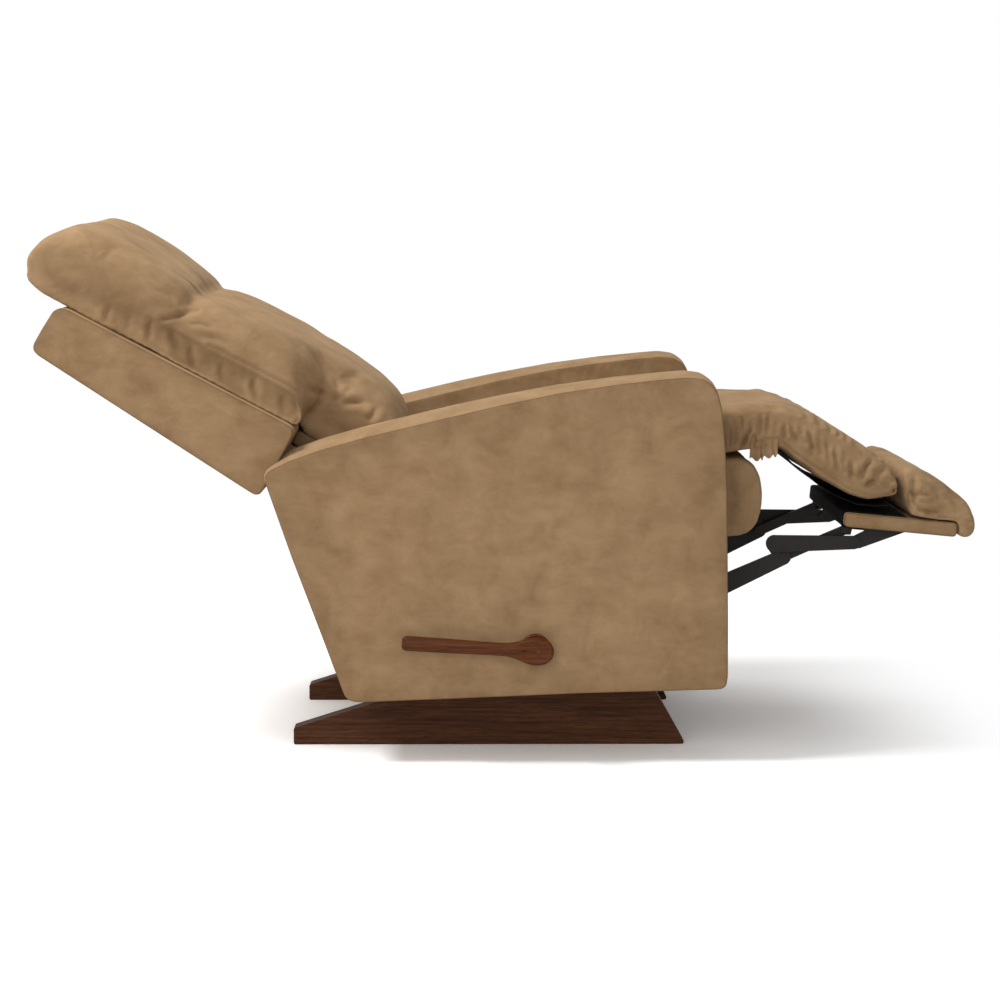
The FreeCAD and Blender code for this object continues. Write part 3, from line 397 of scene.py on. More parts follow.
def coverFabricMaterial():
    # napped microfibre: cloudy patches of brushed nap, finer smears, and a fine pile, and painted shade in
    # seams and folds
    look = fabricLook
    material, tree, shader, place = startMaterial("coverFabric", look["roughness"], look["specular"])
    cloud = noise(tree, place, *look["cloud"])
    smear = noise(tree, stretched(tree, place, look["smearStretch"]), *look["smear"])
    nap = noise(tree, place, *look["nap"])
    base = ramp(tree, cloud, look["tones"])
    smears = ramp(tree, smear, look["smearTones"])
    grain = ramp(tree, nap, look["napTones"])
    colour = blendColours(tree, "MULTIPLY", look["smearShare"], base, smears)
    colour = blendColours(tree, "MULTIPLY", look["napShare"], colour, grain)
    # painted shade: the colour is multiplied darker where a piece's point attribute marks a seam or a fold
    paintedCreaseShade = addNode(tree, "ShaderNodeAttribute", attribute_name="paintedCreaseShade").outputs["Fac"]
    colour = blendColours(tree, "MULTIPLY", 1.0, colour, ramp(tree, paintedCreaseShade, look["paintedShadeTones"]))
    tree.links.new(colour, shader.inputs["Base Color"])
    shader.inputs["Sheen Weight"].default_value = look["sheen"]
    shader.inputs["Sheen Roughness"].default_value = look["sheenRoughness"]
    shader.inputs["Sheen Tint"].default_value = look["sheenTone"]
    soft = noise(tree, place, *look["soft"])
    addBumps(tree, shader, [(soft, *look["softBump"]), (nap, *look["napBump"])])
    return material


woodLook = {
    "slowStretch": (2.5, 14.0, 14.0),
    "slow": (1.0, 2.0, 0.5, 0.8),
    "slowTones": [(0.3, tone(200, 195, 190)), (0.7, white)],
    "slowShare": 0.8,
    "streakStretch": (7.0, 160.0, 230.0),
    "streak": (1.0, 3.0, 0.6, 0.3),
    "streakFrom": 0.33,
    "streakTo": 0.66,
    "ribDepth": 0.0008,
    "poreStretch": (40.0, 900.0, 900.0),
    "pore": (1.0, 1.0, 0.5),
    "poreTones": [(0.34, tone(150, 140, 135)), (0.44, white)],
    "poreShare": 0.6,
    "poreBump": (0.2, 0.0003),
    "coatRoughness": 0.25,
}


def woodMaterial(name, dark, light, roughness, specular, coat, rib):
    # grain along X: thin streaks, darker pores, a slow change of tone, and fine ribs of open grain
    look = woodLook
    material, tree, shader, place = startMaterial(name, roughness, specular)
    slow, streak, pore = [
        noise(tree, stretched(tree, place, look[kind + "Stretch"]), *look[kind])
        for kind in ("slow", "streak", "pore")
    ]
    base = ramp(tree, streak, [(look["streakFrom"], dark), (look["streakTo"], light)])
    slowTone, poreTone = ramp(tree, slow, look["slowTones"]), ramp(tree, pore, look["poreTones"])
    colour = blendColours(tree, "MULTIPLY", look["slowShare"], base, slowTone)
    colour = blendColours(tree, "MULTIPLY", look["poreShare"], colour, poreTone)
    tree.links.new(colour, shader.inputs["Base Color"])
    shader.inputs["Coat Weight"].default_value = coat
    shader.inputs["Coat Roughness"].default_value = look["coatRoughness"]
    addBumps(tree, shader, [(streak, rib, look["ribDepth"]), (pore, *look["poreBump"])])
    return material


metalLook = {
    "specular": 0.3,
    "patch": (35.0, 4.0, 0.6),
    "patchFrom": 0.3,
    "patchTo": 0.7,
    "darkAt": 0.35,
    "lightAt": 0.7,
    "smoother": 0.08,
    "rougher": 0.12,
    "grainBump": (0.2, 0.0002),
}


def metalMaterial(name, dark, light, roughness, metallic, grain):
    # flat paint or plating with faint mottling, scuffs and a fine texture
    look = metalLook
    material, tree, shader, place = startMaterial(name, roughness, look["specular"])
    patch = noise(tree, place, *look["patch"])
    fine = noise(tree, place, grain)
    colour = ramp(tree, patch, [(look["darkAt"], dark), (look["lightAt"], light)])
    tree.links.new(colour, shader.inputs["Base Color"])
    rough = addNode(
        tree, "ShaderNodeMapRange", [(patch, "Value")],
        in_From_Min=look["patchFrom"], in_From_Max=look["patchTo"],
        in_To_Min=roughness - look["smoother"], in_To_Max=roughness + look["rougher"],
    )
    tree.links.new(rough.outputs["Result"], shader.inputs["Roughness"])
    shader.inputs["Metallic"].default_value = metallic
    addBumps(tree, shader, [(fine, *look["grainBump"])])
    return material


dustClothLook = {
    "roughness": 0.95,
    "specular": 0.08,
    "fibreBump": (0.4, 0.0004),
    "weftShare": 0.5,
    "warpStretch": (300.0, 1400.0, 300.0),
    "warpTones": [(0.3, tone(12, 11, 10)), (0.7, tone(30, 28, 26))],
    "weftStretch": (1400.0, 300.0, 1400.0),
    "weftTones": [(0.3, tone(11, 10, 10)), (0.7, tone(28, 26, 25))],
}


def dustClothMaterial():
    # thin non-woven cloth: crossed fibres over near black
    look = dustClothLook
    material, tree, shader, place = startMaterial("dustCloth", look["roughness"], look["specular"])
    warp = noise(tree, stretched(tree, place, look["warpStretch"]), 1.0)
    weft = noise(tree, stretched(tree, place, look["weftStretch"]), 1.0)
    warpTone, weftTone = ramp(tree, warp, look["warpTones"]), ramp(tree, weft, look["weftTones"])
    colour = blendColours(tree, "MIX", look["weftShare"], warpTone, weftTone)
    tree.links.new(colour, shader.inputs["Base Color"])
    addBumps(tree, shader, [(warp, *look["fibreBump"]), (weft, *look["fibreBump"])])
    return material


# wood: dark and light tone, roughness, specular, coat, rib; metal: tones, roughness, metallic, grain
finishes = {
    "cover_fabric": coverFabricMaterial(),
    "stained_wood": woodMaterial("baseWood", tone(64, 37, 20), tone(98, 61, 40), 0.62, 0.12, 0.0, 0.5),
    "frame_wood": woodMaterial("frameWood", tone(172, 138, 96), tone(208, 178, 134), 0.7, 0.3, 0.0, 0.2),
    "handle_wood": woodMaterial("leverWood", tone(68, 30, 5), tone(108, 56, 15), 0.42, 0.12, 0.05, 0.12),
    "painted_steel": metalMaterial("linkPaint", tone(19, 15, 12), tone(31, 25, 20), 0.6, 0.0, 900.0),
    "bright_steel": metalMaterial("zincSteel", tone(140, 138, 132), tone(176, 174, 168), 0.35, 0.9, 600.0),
    "black_plastic": metalMaterial("glidePlastic", tone(26, 26, 26), tone(38, 38, 38), 0.55, 0.0, 700.0),
    "black_cloth": dustClothMaterial(),
}
fabric = finishes["cover_fabric"]
slots = {part["node"]: part["material_slot"] for part in frame["record"]["subparts"]}
for node, slot in slots.items():
    frame["nodes"][node].data.materials.clear()
    frame["nodes"][node].data.materials.append(finishes[slot])
print("materials made")


# inset and drop of a face's rounded rim, in rims, and of the seam's groove below it, in beads
rimCurve = [(0.6, 0.05), (0.3, 0.17), (0.1, 0.36), (0, 0.62), (0, 1.0)]
beadCurve = [(0.8, 0.25), (1.4, 0.55), (1.3, 0.95), (0.4, 1.3), (0, 1.9)]
# lengths in mm: a face's depth from its seam, the puckers' reach and their changes of beat and
# height along the seam, the hollows' wavelength and where they begin; then how the boxing crowns,
# how much of the depth the hollows see, and the place and width of the seam's painted shade in rims
boxedLook = {
    "face": 200,
    "puckerReach": 14,
    "puckerWander": 2.5,
    "beatLength": 61,
    "heightLength": 97,
    "hollowLength": 260,
    "hollowFrom": (8, 70),
    "crownPower": 2.6,
    "hollowDepth": 0.4,
    "seamAt": 0.5,
    "shadeWide": 0.4,
}


def boxedForm(ring, side, centre, crown, look):
    # rings from the middle of one face out to its rim, over a sewn edge, across the boxing and in
    # again; a face ring is the path drawn in towards centre, a boxing ring is the path pushed out
    # by crown (1 - |share|^2.6)
    normal = ringNormals(ring)
    half, rim, bead = look["half"], look["rim"], look["bead"]
    rings, depths, seams = [], [], []
    for share in look["faceShares"]:
        inner = ring - normal * rim
        rings.append(centre + (inner - centre) * share)
        depths.append(half + look["bulge"] * (1 - share ** 2))
        seams.append(rim + (1 - share) * boxedLook["face"])
    edge = [(rim * a, rim * b) for a, b in rimCurve]
    edge += [(a * bead, rim + b * bead) for a, b in beadCurve]
    for inset, drop in edge:
        rings.append(ring - normal * inset)
        depths.append(half - drop)
        seams.append(drop)
    reach = half - edge[-1][1]
    for share in np.linspace(1, -1, look["boxingRings"])[1:-1]:
        lift = crown * (1 - abs(share) ** boxedLook["crownPower"])
        rings.append(ring + normal * np.reshape(lift, (-1, 1)))
        depths.append(reach * share)
        seams.append(reach * (1 - abs(share)) + boxedLook["seamAt"] * rim)
    count = len(look["faceShares"]) + len(edge)
    rings += rings[:count][::-1]
    depths += [-d for d in depths[:count]][::-1]
    seams += seams[:count][::-1]
    rings = np.array(rings)
    depth = np.array(depths)[:, None] * np.ones(rings.shape[1])
    seam = np.array(seams)[:, None] * np.ones(rings.shape[1])
    # puckers along the seams, a wave whose beat wanders, and slow hollows in the faces
    run = np.concatenate([[0], np.cumsum(np.linalg.norm(np.diff(ring, axis=0), axis=1))])
    wander = boxedLook["puckerWander"] * np.sin(run / boxedLook["beatLength"])
    ripple = np.sin(run / look["pucker"] * fullTurn + wander)
    ripple *= 0.5 + 0.5 * np.sin(run / boxedLook["heightLength"])
    place = np.stack([rings[..., 0], depth * boxedLook["hollowDepth"], rings[..., 1]], -1)
    place = place.reshape(-1, 3)
    hollow = waves(place, boxedLook["hollowLength"], look["seed"]).reshape(depth.shape) * look["hollow"]
    facing = np.sign(depth) * step(reach, half, abs(depth))
    lift = look["ripple"] * ripple * np.exp(-seam / boxedLook["puckerReach"])
    lift = lift + hollow * step(*boxedLook["hollowFrom"], seam)
    y = side + depth + facing * lift
    # the seam's painted shade is deepest halfway down the rim
    below = half - abs(depth) - boxedLook["seamAt"] * rim
    paintedCreaseShade = bell(below / (boxedLook["shadeWide"] * rim))
    return np.stack([rings[..., 0], y, rings[..., 1]], -1), paintedCreaseShade


def makeBoxed(name, form):
    rings, paintedCreaseShade = form
    piece = makeShells(name, [rings], fabric)
    # painted shade along the sewn edges
    paintCreaseShade(piece, np.concatenate([[0.0], paintedCreaseShade.ravel(), [0.0]]))
    return piece


armLook = {
    "outline": [
        (-221, 108.5), (-64, 114.5), (153, 123.5), (399, 130), (407, 135), (409.5, 152), (409, 240),
        (407.5, 340), (405, 467), (402, 540), (398.5, 580), (395, 615), (388, 640), (378, 655),
        (362, 665), (335, 667.5), (300, 664.5), (221, 656), (119, 641), (17, 620), (-102, 592),
        (-207, 567), (-286, 545), (-338, 527), (-376, 509), (-384, 500), (-383, 488), (-339, 360),
        (-263, 154), (-250, 118), (-240, 110),
    ],
    "count": 680,
    "softness": 4.0,
    "centre": (60, 360),
    "middle": 325,
    "upward": (0.25, 0.8),
    "upBlur": 8,
    "crownAt": [(-330, 13.0), (-60, 13.5), (120, 9.5), (300, 7.5)],
    "sideCrown": 2.0,
    "half": 74.6,
    "rim": 3.4,
    "bead": 2.0,
    "bulge": 2.0,
    "boxingRings": 27,
    "faceShares": [0.12, 0.25, 0.38, 0.5, 0.61, 0.71, 0.79, 0.86, 0.915, 0.955, 0.985, 1.0],
    "pucker": 19.0,
    "ripple": 0.35,
    "hollow": 0.9,
    "seed": 3,
}


def makeArm(name, side, nodes):
    # a boxed form whose boxing crowns most along its top edge
    look = armLook
    ring = ringThrough(look["outline"], look["count"], look["softness"])
    up = step(*look["upward"], ringNormals(ring)[:, 1])
    top = np.interp(ring[:, 0], *np.array(look["crownAt"]).T)
    crown = look["sideCrown"] + (top - look["sideCrown"]) * blurRing(up, look["upBlur"])
    form = boxedForm(ring, side * look["middle"], np.array(look["centre"]), crown, look)
    seated(makeBoxed(name, form), "body", *nodes)


makeArm("armRight", -1, ["arm_outer_cover_right", "arm_inner_cover_right", "arm_top_pad_right"])
makeArm("armLeft", 1, ["arm_outer_cover_left", "arm_inner_cover_left", "arm_top_pad_left"])


backPlane = {"pivot": (-303, 505), "lean": math.radians(28)}


def onBack(uv):
    # places up the back (u) and out of its front (v) as X and Z
    uv = np.asarray(uv, float)
    c, s = math.cos(backPlane["lean"]), math.sin(backPlane["lean"])
    x = backPlane["pivot"][0] - uv[..., 0] * c + uv[..., 1] * s
    z = backPlane["pivot"][1] + uv[..., 0] * s + uv[..., 1] * c
    return np.stack([x, z], -1)


def fromBack(p):
    # the way back: u and v of points in space
    c, s = math.cos(backPlane["lean"]), math.sin(backPlane["lean"])
    dx, dz = p[:, 0] - backPlane["pivot"][0], p[:, 2] - backPlane["pivot"][1]
    return -dx * c + dz * s, dx * s + dz * c


shellLook = {
    "outline": [
        (60, 38), (64, 48), (74, 50.5), (200, 50), (350, 49.5), (498, 49), (510, 46), (517, 36),
        (520, 0), (521, -30), (517, -39), (506, -43), (300, -62), (90, -81), (70, -82.5), (62, -77),
        (60, -40),
    ],
    "count": 520,
    "softness": 3.0,
    "centre": (290, -12),
    "crown": 1.5,
    "half": 375.5,
    "rim": 3.4,
    "bead": 1.3,
    "bulge": 2.0,
    "boxingRings": 61,
    "faceShares": [0.15, 0.3, 0.45, 0.6, 0.73, 0.84, 0.92, 0.97, 1.0],
    "pucker": 23.0,
    "ripple": 0.35,
    "hollow": 0.7,
    "seed": 8,
}


def makePanel(name, look, place):
    # a boxed form about the chair's middle, whose outline place() puts into X and Z
    ring = place(ringThrough(look["outline"], look["count"], look["softness"]))
    centre = place([look["centre"]])[0] if look["centre"] else ring.mean(0)
    return makeBoxed(name, boxedForm(ring, 0, centre, look["crown"], look))


seated(makePanel("backShell", shellLook, onBack), "back", "back_shell", "back_front_panel")


def stuffedRings(ring, centre, half, look):
    # the side outline carried across; near each side it draws in towards centre, more in thickness
    # than in length, by 1 - (1 - |place|^edge)^soft
    # across is the angle from one side to the other, so the stations crowd at the sides
    across = np.linspace(-math.pi / 2, math.pi / 2, look["stations"])
    place = np.sin(across)
    draw = 1 - (1 - np.abs(place) ** look["edge"]) ** look["soft"]
    long = 1 - look["drawLong"] * draw
    thick = (1 - look["drawThick"] * draw) * (1 - look["fall"] * place ** 2)
    along = np.array(look["along"])
    out = np.array([-along[1], along[0]])
    rings = []
    for share, a, b in zip(place, long, thick):
        d = ring - centre
        xz = centre + np.outer(d @ along, along) * a + np.outer(d @ out, out) * b
        rings.append(np.stack([xz[:, 0], np.full(len(xz), share * half), xz[:, 1]], -1))
    return rings


def uneven(p, height, length, seed):
    # stuffed cloth is never quite flat: height times slow waves
    return height * waves(p, length, seed)


def gathered(row, place, p):
    # a row of gathers: high cos(place / pitch + wander waves), whose beat wanders with slow waves
    return row["high"] * np.cos(place / row["pitch"] + row["wander"] * waves(p, *row["waves"]))


def dimple(p, place, depth, radius):
    # a round hollow in the side about place: -depth bell(distance / radius)
    return -depth * bell(np.hypot(p[:, 0] - place[0], p[:, 2] - place[1]) / radius)


def unit(x, z):
    # the same direction with a length of 1
    size = math.hypot(x, z)
    return (x / size, z / size)


backLook = {
    "wings": [
        (60, 50), (54, 72), (54, 116), (60, 138), (76, 153), (106, 162), (150, 166), (215, 165),
        (262, 161), (300, 154), (328, 142), (346, 112), (350, 78), (344, 50), (200, 49),
    ],
    "tail": [
        (-128, 30), (-135, 70), (-128, 106), (-108, 128), (-72, 143), (-25, 155), (36, 163), (90, 165),
        (150, 163), (180, 120), (176, 56), (66, 50), (50, 32), (0, 28),
    ],
    "pillow": [
        (322, 52), (314, 84), (312, 116), (320, 140), (342, 156), (378, 168), (420, 176), (465, 181),
        (510, 184), (550, 179), (584, 166), (609, 140), (619, 111), (613, 84), (592, 62), (556, 50),
        (450, 48),
    ],
    "count": 240,
    "softness": 7.0,
    # each form's outline, centre and half width
    "forms": [("wings", (190, 52), 343), ("tail", (10, 52), 240), ("pillow", (465, 52), 343)],
    "stations": 49,
    "edge": 9.0,
    "soft": 0.55,
    "drawLong": 0.035,
    "drawThick": 0.24,
    "fall": 0.12,
    "along": (-math.cos(backPlane["lean"]), math.sin(backPlane["lean"])),
    "voxel": 7.4,
    "pressure": 4.0,
    "cap": 20.0,
    # each pair below says where something begins and where it is full
    # across the chair, in mm from its middle
    "sides": (120, 330),
    "wingSides": (250, 300),
    "slantSides": (250, 340),
    "cornerFrom": (190, 235),
    "cornerTo": (345, 290),
    "sagTo": (120, 0),
    "flank": (0.35, 0.8),
    # up the back, and out of its front
    "slantUp": (150, 55),
    "slackUp": (420, 330),
    "looseOut": (52, 76),
    "foldOut": (48, 60),
    "slackOut": (50, 62),
    "slackIn": (103, 96),
    "crossOut": (100, 140),
    "sagOut": (150, 175),
    # the slant of the wings' lower end: in at the front edge by the arm, out by the tail
    "slantIn": {"by": 34, "out": (58, 118)},
    "slantBack": {"by": 12, "out": (60, 90)},
    # depth and width of each kind of line
    "seamSize": (2.6, 2.2),
    "endSize": (2.2, 2.2),
    "dartSize": (4.5, 2.8),
    "foldSize": (2.3, 4.2),
    "cornerSize": (4.5, 5.0),
    "slack": 3.5,
    "lumbar": {"deep": 2.5, "at": 150, "wide": 60},
    "pillowFolds": {"high": 1.3, "at": 332, "wide": 30, "pitch": 21, "wander": 2.6, "waves": (150, 13)},
    "longWaves": (1.8, 230, 11),
    "shortWaves": (0.8, 80, 12),
    "middleWaves": 0.35,
    # sewn lines and folds on the flanks, in places up and out of the back
    "wingSeam": [(262, 104), (232, 105), (112, 107), (66, 106), (50, 101)],
    "wingEnd": [(50, 101), (56, 88), (63, 66), (68, 52)],
    "dart": [(353, 106), (330, 124), (306, 148)],
    "flankFolds": [
        [(300, 70), (322, 84), (338, 100)], [(352, 62), (366, 82), (372, 104)],
        [(392, 58), (402, 76), (404, 96)], [(430, 56), (440, 72), (440, 88)],
        [(262, 62), (282, 76), (292, 92)], [(205, 60), (222, 74), (230, 90)],
        [(140, 62), (160, 76), (170, 92)], [(88, 60), (104, 76), (110, 92)],
        [(312, 118), (290, 132), (262, 138)], [(338, 138), (360, 146), (392, 148)],
        [(280, 112), (252, 122), (222, 124)],
    ],
    "cornerFolds": [
        [(18, 112), (44, 126), (74, 134)], [(18, 112), (34, 136), (50, 156)],
        [(18, 112), (14, 138), (8, 160)], [(18, 112), (-8, 128), (-30, 138)],
        [(18, 112), (52, 114), (86, 116)], [(-40, 104), (-46, 122), (-44, 140)],
    ],
}


def makeBackCushions():
    # three stuffed forms in one mesh, joined by the remesh
    look = backLook
    shells = []
    for key, centre, half in look["forms"]:
        ring = onBack(ringThrough(look[key], look["count"], look["softness"]))
        shells.append(np.array(stuffedRings(ring, onBack(centre), half, look)))
    # the wings' lower end slants: further in at the front edge than by the tail
    wings = shells[0]
    u, v = fromBack(wings.reshape(-1, 3))
    outer = step(*look["slantSides"], abs(wings[..., 1].ravel()))
    inward, backward = look["slantIn"], look["slantBack"]
    slant = inward["by"] * outer * step(*inward["out"], v)
    slant -= backward["by"] * (1 - outer) * step(*backward["out"], v)
    high, low = look["slantUp"]
    xz = onBack(np.stack([u + np.clip((high - u) / (high - low), 0, 1) * slant, v], -1))
    wings[..., [0, 2]] = xz.reshape(*wings.shape[:2], 2)
    piece = makeShells("backCushions", shells, fabric)

    def loose(p):
        # the underside stays flat on the shell
        return step(*look["looseOut"], fromBack(p)[1])

    swell(piece, look, loose)

    def fold(p, n):
        # the sum of the seams, folds and waves, which fades out at the underside
        u, v = fromBack(p)
        uv = np.stack([u, v], -1)
        away = abs(p[:, 1])
        outer = step(*look["flank"], abs(n[:, 1])) * step(*look["wingSides"], away)
        d = outer * groove(uv, look["wingSeam"], *look["seamSize"])
        d += outer * groove(uv, look["wingEnd"], *look["endSize"])
        d += outer * groove(uv, look["dart"], *look["dartSize"])
        # the boxing below the seam is slack and sits a little inward
        slack = step(*look["slackIn"], v) * step(*look["slackOut"], v) * step(*look["slackUp"], u)
        d -= outer * look["slack"] * slack
        d += outer * creases(uv, look["flankFolds"], *look["foldSize"])
        # folds that run out from the inner corner, where the wing meets the tail
        corner = step(*look["cornerFrom"], away) * step(*look["cornerTo"], away)
        d += corner * creases(uv, look["cornerFolds"], *look["cornerSize"])
        # folds across the front by the pillow's crease, then long soft hollows
        row = look["pillowFolds"]
        across = gathered(row, p[:, 1], p)
        d += across * bell((u - row["at"]) / row["wide"]) * step(*look["crossOut"], v)
        d += uneven(p, *look["longWaves"])
        least = look["middleWaves"]
        d += uneven(p, *look["shortWaves"]) * (least + (1 - least) * step(*look["sides"], away))
        # the middle of the lumbar part is sat a little hollow
        sag = look["lumbar"]
        middle = step(*look["sagOut"], v) * step(*look["sagTo"], away)
        d -= sag["deep"] * bell((u - sag["at"]) / sag["wide"]) * middle
        return d * step(*look["foldOut"], v)

    press(piece, fold)
    seated(piece, "back", "back_cushion", "head_pillow")


makeBackCushions()


def makeStuffed(name, looks):
    # one stuffed form, or several in one mesh
    shells = []
    for look in looks:
        ring = ringThrough(look["outline"], look["count"], look["softness"])
        shells.append(np.array(stuffedRings(ring, np.array(look["centre"]), look["half"], look)))
    return makeShells(name, shells, fabric)


# how the sides of the seat, knee and toe forms draw in
sideLook = {"stations": 41, "edge": 12.0, "soft": 0.5, "drawLong": 0.01, "fall": 0.02}

seatLook = {
    **sideLook,
    "outline": [
        (-62, 520), (-64, 543), (-50, 556), (0, 562), (120, 575), (240, 587), (340, 595), (400, 599),
        (450, 602), (500, 602), (522, 596), (530, 578), (528, 556), (512, 540), (490, 533), (446, 527),
        (414, 521), (405, 519), (200, 490), (-46, 455), (-58, 470),
    ],
    "count": 290,
    "softness": 4.5,
    "centre": (230, 540),
    "half": 238,
    "drawThick": 0.13,
    "along": unit(0.99, 0.139),
    "folds": [
        [(414, 586), (416, 560), (415, 522)], [(424, 580), (425, 552), (424, 528)],
        [(433, 588), (434, 560), (433, 524)], [(464, 575), (451, 548), (437, 526)],
        [(446, 590), (447, 572), (442, 552)], [(480, 597), (480, 575), (479, 548)],
        [(468, 560), (466, 545), (462, 533)], [(493, 596), (491, 570), (489, 545)],
    ],
}

rollLook = {
    "outline": [
        (412, 372), (440, 372), (459, 379), (473, 395), (481, 424), (482.5, 453), (478, 482),
        (467, 503), (450, 514), (428, 516), (412, 514), (411, 440),
    ],
    "count": 150,
    "softness": 4.0,
    "centre": (412, 444),
    "half": 243,
    "stations": 35,
    "edge": 26.0,
    "soft": 0.5,
    "drawLong": 0.10,
    "drawThick": 0.10,
    "fall": 0.0,
    "along": (1.0, 0.0),
    "voxel": 5.5,
    "pressure": 3.0,
    "cap": 4.0,
    "flank": (0.5, 0.9),
    "looseFrom": (414, 430),
    "wavesFrom": (414, 440),
    "piping": [
        (420, 381), (444, 383), (462, 398), (470, 424), (472, 453), (468, 480), (456, 500), (430, 505),
    ],
    "pipingSize": (1.6, 2.2),
    "longWaves": (0.9, 150, 41),
}


def makeRoll():
    # its flat rear stays against the seat's front rail
    look = rollLook
    piece = makeStuffed("seatFrontRoll", [look])
    swell(piece, look, lambda p: step(*look["looseFrom"], p[:, 0]))

    def fold(p, n):
        # a piping line round each end, and long waves that fade at the rear
        xz = np.stack([p[:, 0], p[:, 2]], -1)
        d = step(*look["flank"], abs(n[:, 1])) * groove(xz, look["piping"], *look["pipingSize"])
        return d + uneven(p, *look["longWaves"]) * step(*look["wavesFrom"], p[:, 0])

    press(piece, fold)
    seated(piece, "seat", "seat_front_roll")


makeRoll()

kneeLook = {
    **sideLook,
    "outline": [
        (490, 540), (484, 560), (486, 584), (496, 600), (524, 603), (545, 597), (572, 586), (602, 568),
        (634, 549), (662, 531), (689, 514), (706, 501), (715, 486), (722, 466), (727, 448), (722, 439),
        (700, 436), (672, 437), (640, 446), (612, 461), (585, 479), (546, 510), (522, 532),
    ],
    "count": 220,
    "softness": 3.6,
    "centre": (610, 530),
    "half": 238,
    "drawThick": 0.14,
    "along": unit(226, -104),
    "voxel": 5.6,
    "pressure": 4.0,
    "cap": 7.0,
    # the underside: a place on it and its rise under the seat, a place under the knee, and the bend
    "seatUnder": (405, 519),
    "seatRise": 0.14,
    "kneeUnder": (585, 474),
    "bendAt": 505,
    "topStart": (506, 570),
    # each pair says where something begins and where it is full
    "flank": (0.3, 0.8),
    "sides": (95, 232),
    "looseAbove": (0, 20),
    "foldAbove": (-6, 10),
    "foldFrom": (385, 425),
    "pleatFrom": (-6, 40),
    "pleatAbove": (34, 56),
    "pleatFlank": (1, 0.3),
    "hem": [
        (452, 538), (480, 545), (513, 547), (541, 522), (588, 490), (636, 458), (677, 446), (716, 446),
    ],
    "hemSize": (2.4, 2.2),
    "folds": [
        [(521, 578), (523, 560), (520, 545)], [(531, 582), (536, 560), (552, 536)],
        [(545, 574), (552, 556), (566, 530)], [(562, 566), (569, 545), (575, 519)],
        [(577, 556), (583, 536), (592, 512)], [(594, 546), (599, 523), (606, 492)],
        [(607, 536), (612, 516), (617, 486)], [(622, 520), (626, 504), (632, 484)],
        [(640, 512), (638, 496), (644, 474)], [(654, 478), (668, 502), (682, 514)],
        [(676, 473), (689, 490), (706, 500)], [(664, 462), (672, 472), (688, 476)],
        [(692, 462), (706, 472), (722, 478)],
    ],
    "foldSize": (5.4, 3.6),
    "tuck": (727, 452),
    "tuckDimple": (7, 10),
    "tuckFolds": [
        [(727, 452), (712, 463), (698, 464)], [(727, 452), (714, 449), (700, 446)],
        [(727, 452), (722, 470), (716, 484)], [(727, 452), (718, 456), (704, 455)],
    ],
    "tuckSize": (4.2, 3.4),
    "pleats": {"high": 1.5, "pitch": 3.9, "wander": 2.4, "waves": (66, 55)},
    "longWaves": (1.4, 190, 58),
    "shortWaves": (0.7, 50, 59),
}


def makeChaise():
    # the seat and the pad over the knee are one stuffed form, gathered along its sides
    look = kneeLook
    piece = makeStuffed("chaiseCushion", [seatLook, look])
    along = look["along"]

    def height(p):
        # distance above the line of the underside, which bends at the knee
        (rearX, rearZ), (kneeX, kneeZ) = look["seatUnder"], look["kneeUnder"]
        rear = p[:, 2] - rearZ - look["seatRise"] * (p[:, 0] - rearX)
        front = (p[:, 0] - kneeX) * -along[1] + (p[:, 2] - kneeZ) * along[0]
        return np.where(p[:, 0] < look["bendAt"], rear, front)

    swell(piece, look, lambda p: step(*look["looseAbove"], height(p)))

    def fold(p, n):
        # folds, hem and tuck on the flanks, pleats across the top's edges, then slow waves
        h = height(p)
        xz = np.stack([p[:, 0], p[:, 2]], -1)
        flank = step(*look["flank"], abs(n[:, 1]))
        side = step(*look["sides"], abs(p[:, 1]))
        front = flank * step(*look["foldFrom"], p[:, 0])
        d = front * creases(xz, seatLook["folds"] + look["folds"], *look["foldSize"])
        d += flank * creases(xz, look["tuckFolds"], *look["tuckSize"])
        d += flank * groove(xz, look["hem"], *look["hemSize"])
        startX, startZ = look["topStart"]
        s = (p[:, 0] - startX) * along[0] + (p[:, 2] - startZ) * along[1]
        top = side * step(*look["pleatFrom"], s) * step(*look["pleatAbove"], h)
        top *= step(*look["pleatFlank"], flank)
        d += top * gathered(look["pleats"], s, p)
        d += flank * dimple(p, look["tuck"], *look["tuckDimple"])
        d += uneven(p, *look["longWaves"]) + uneven(p, *look["shortWaves"]) * side
        return d * step(*look["foldAbove"], h)

    press(piece, fold)
    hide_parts("seat_cushion", "knee_pad")
    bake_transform(piece)
    print("made", piece.name, len(piece.data.polygons), "faces")


makeChaise()

# the ottoman board's top: its rear end and how far it falls towards the front
boardTop = {"rear": (630, 417.5), "fall": math.radians(5.4)}

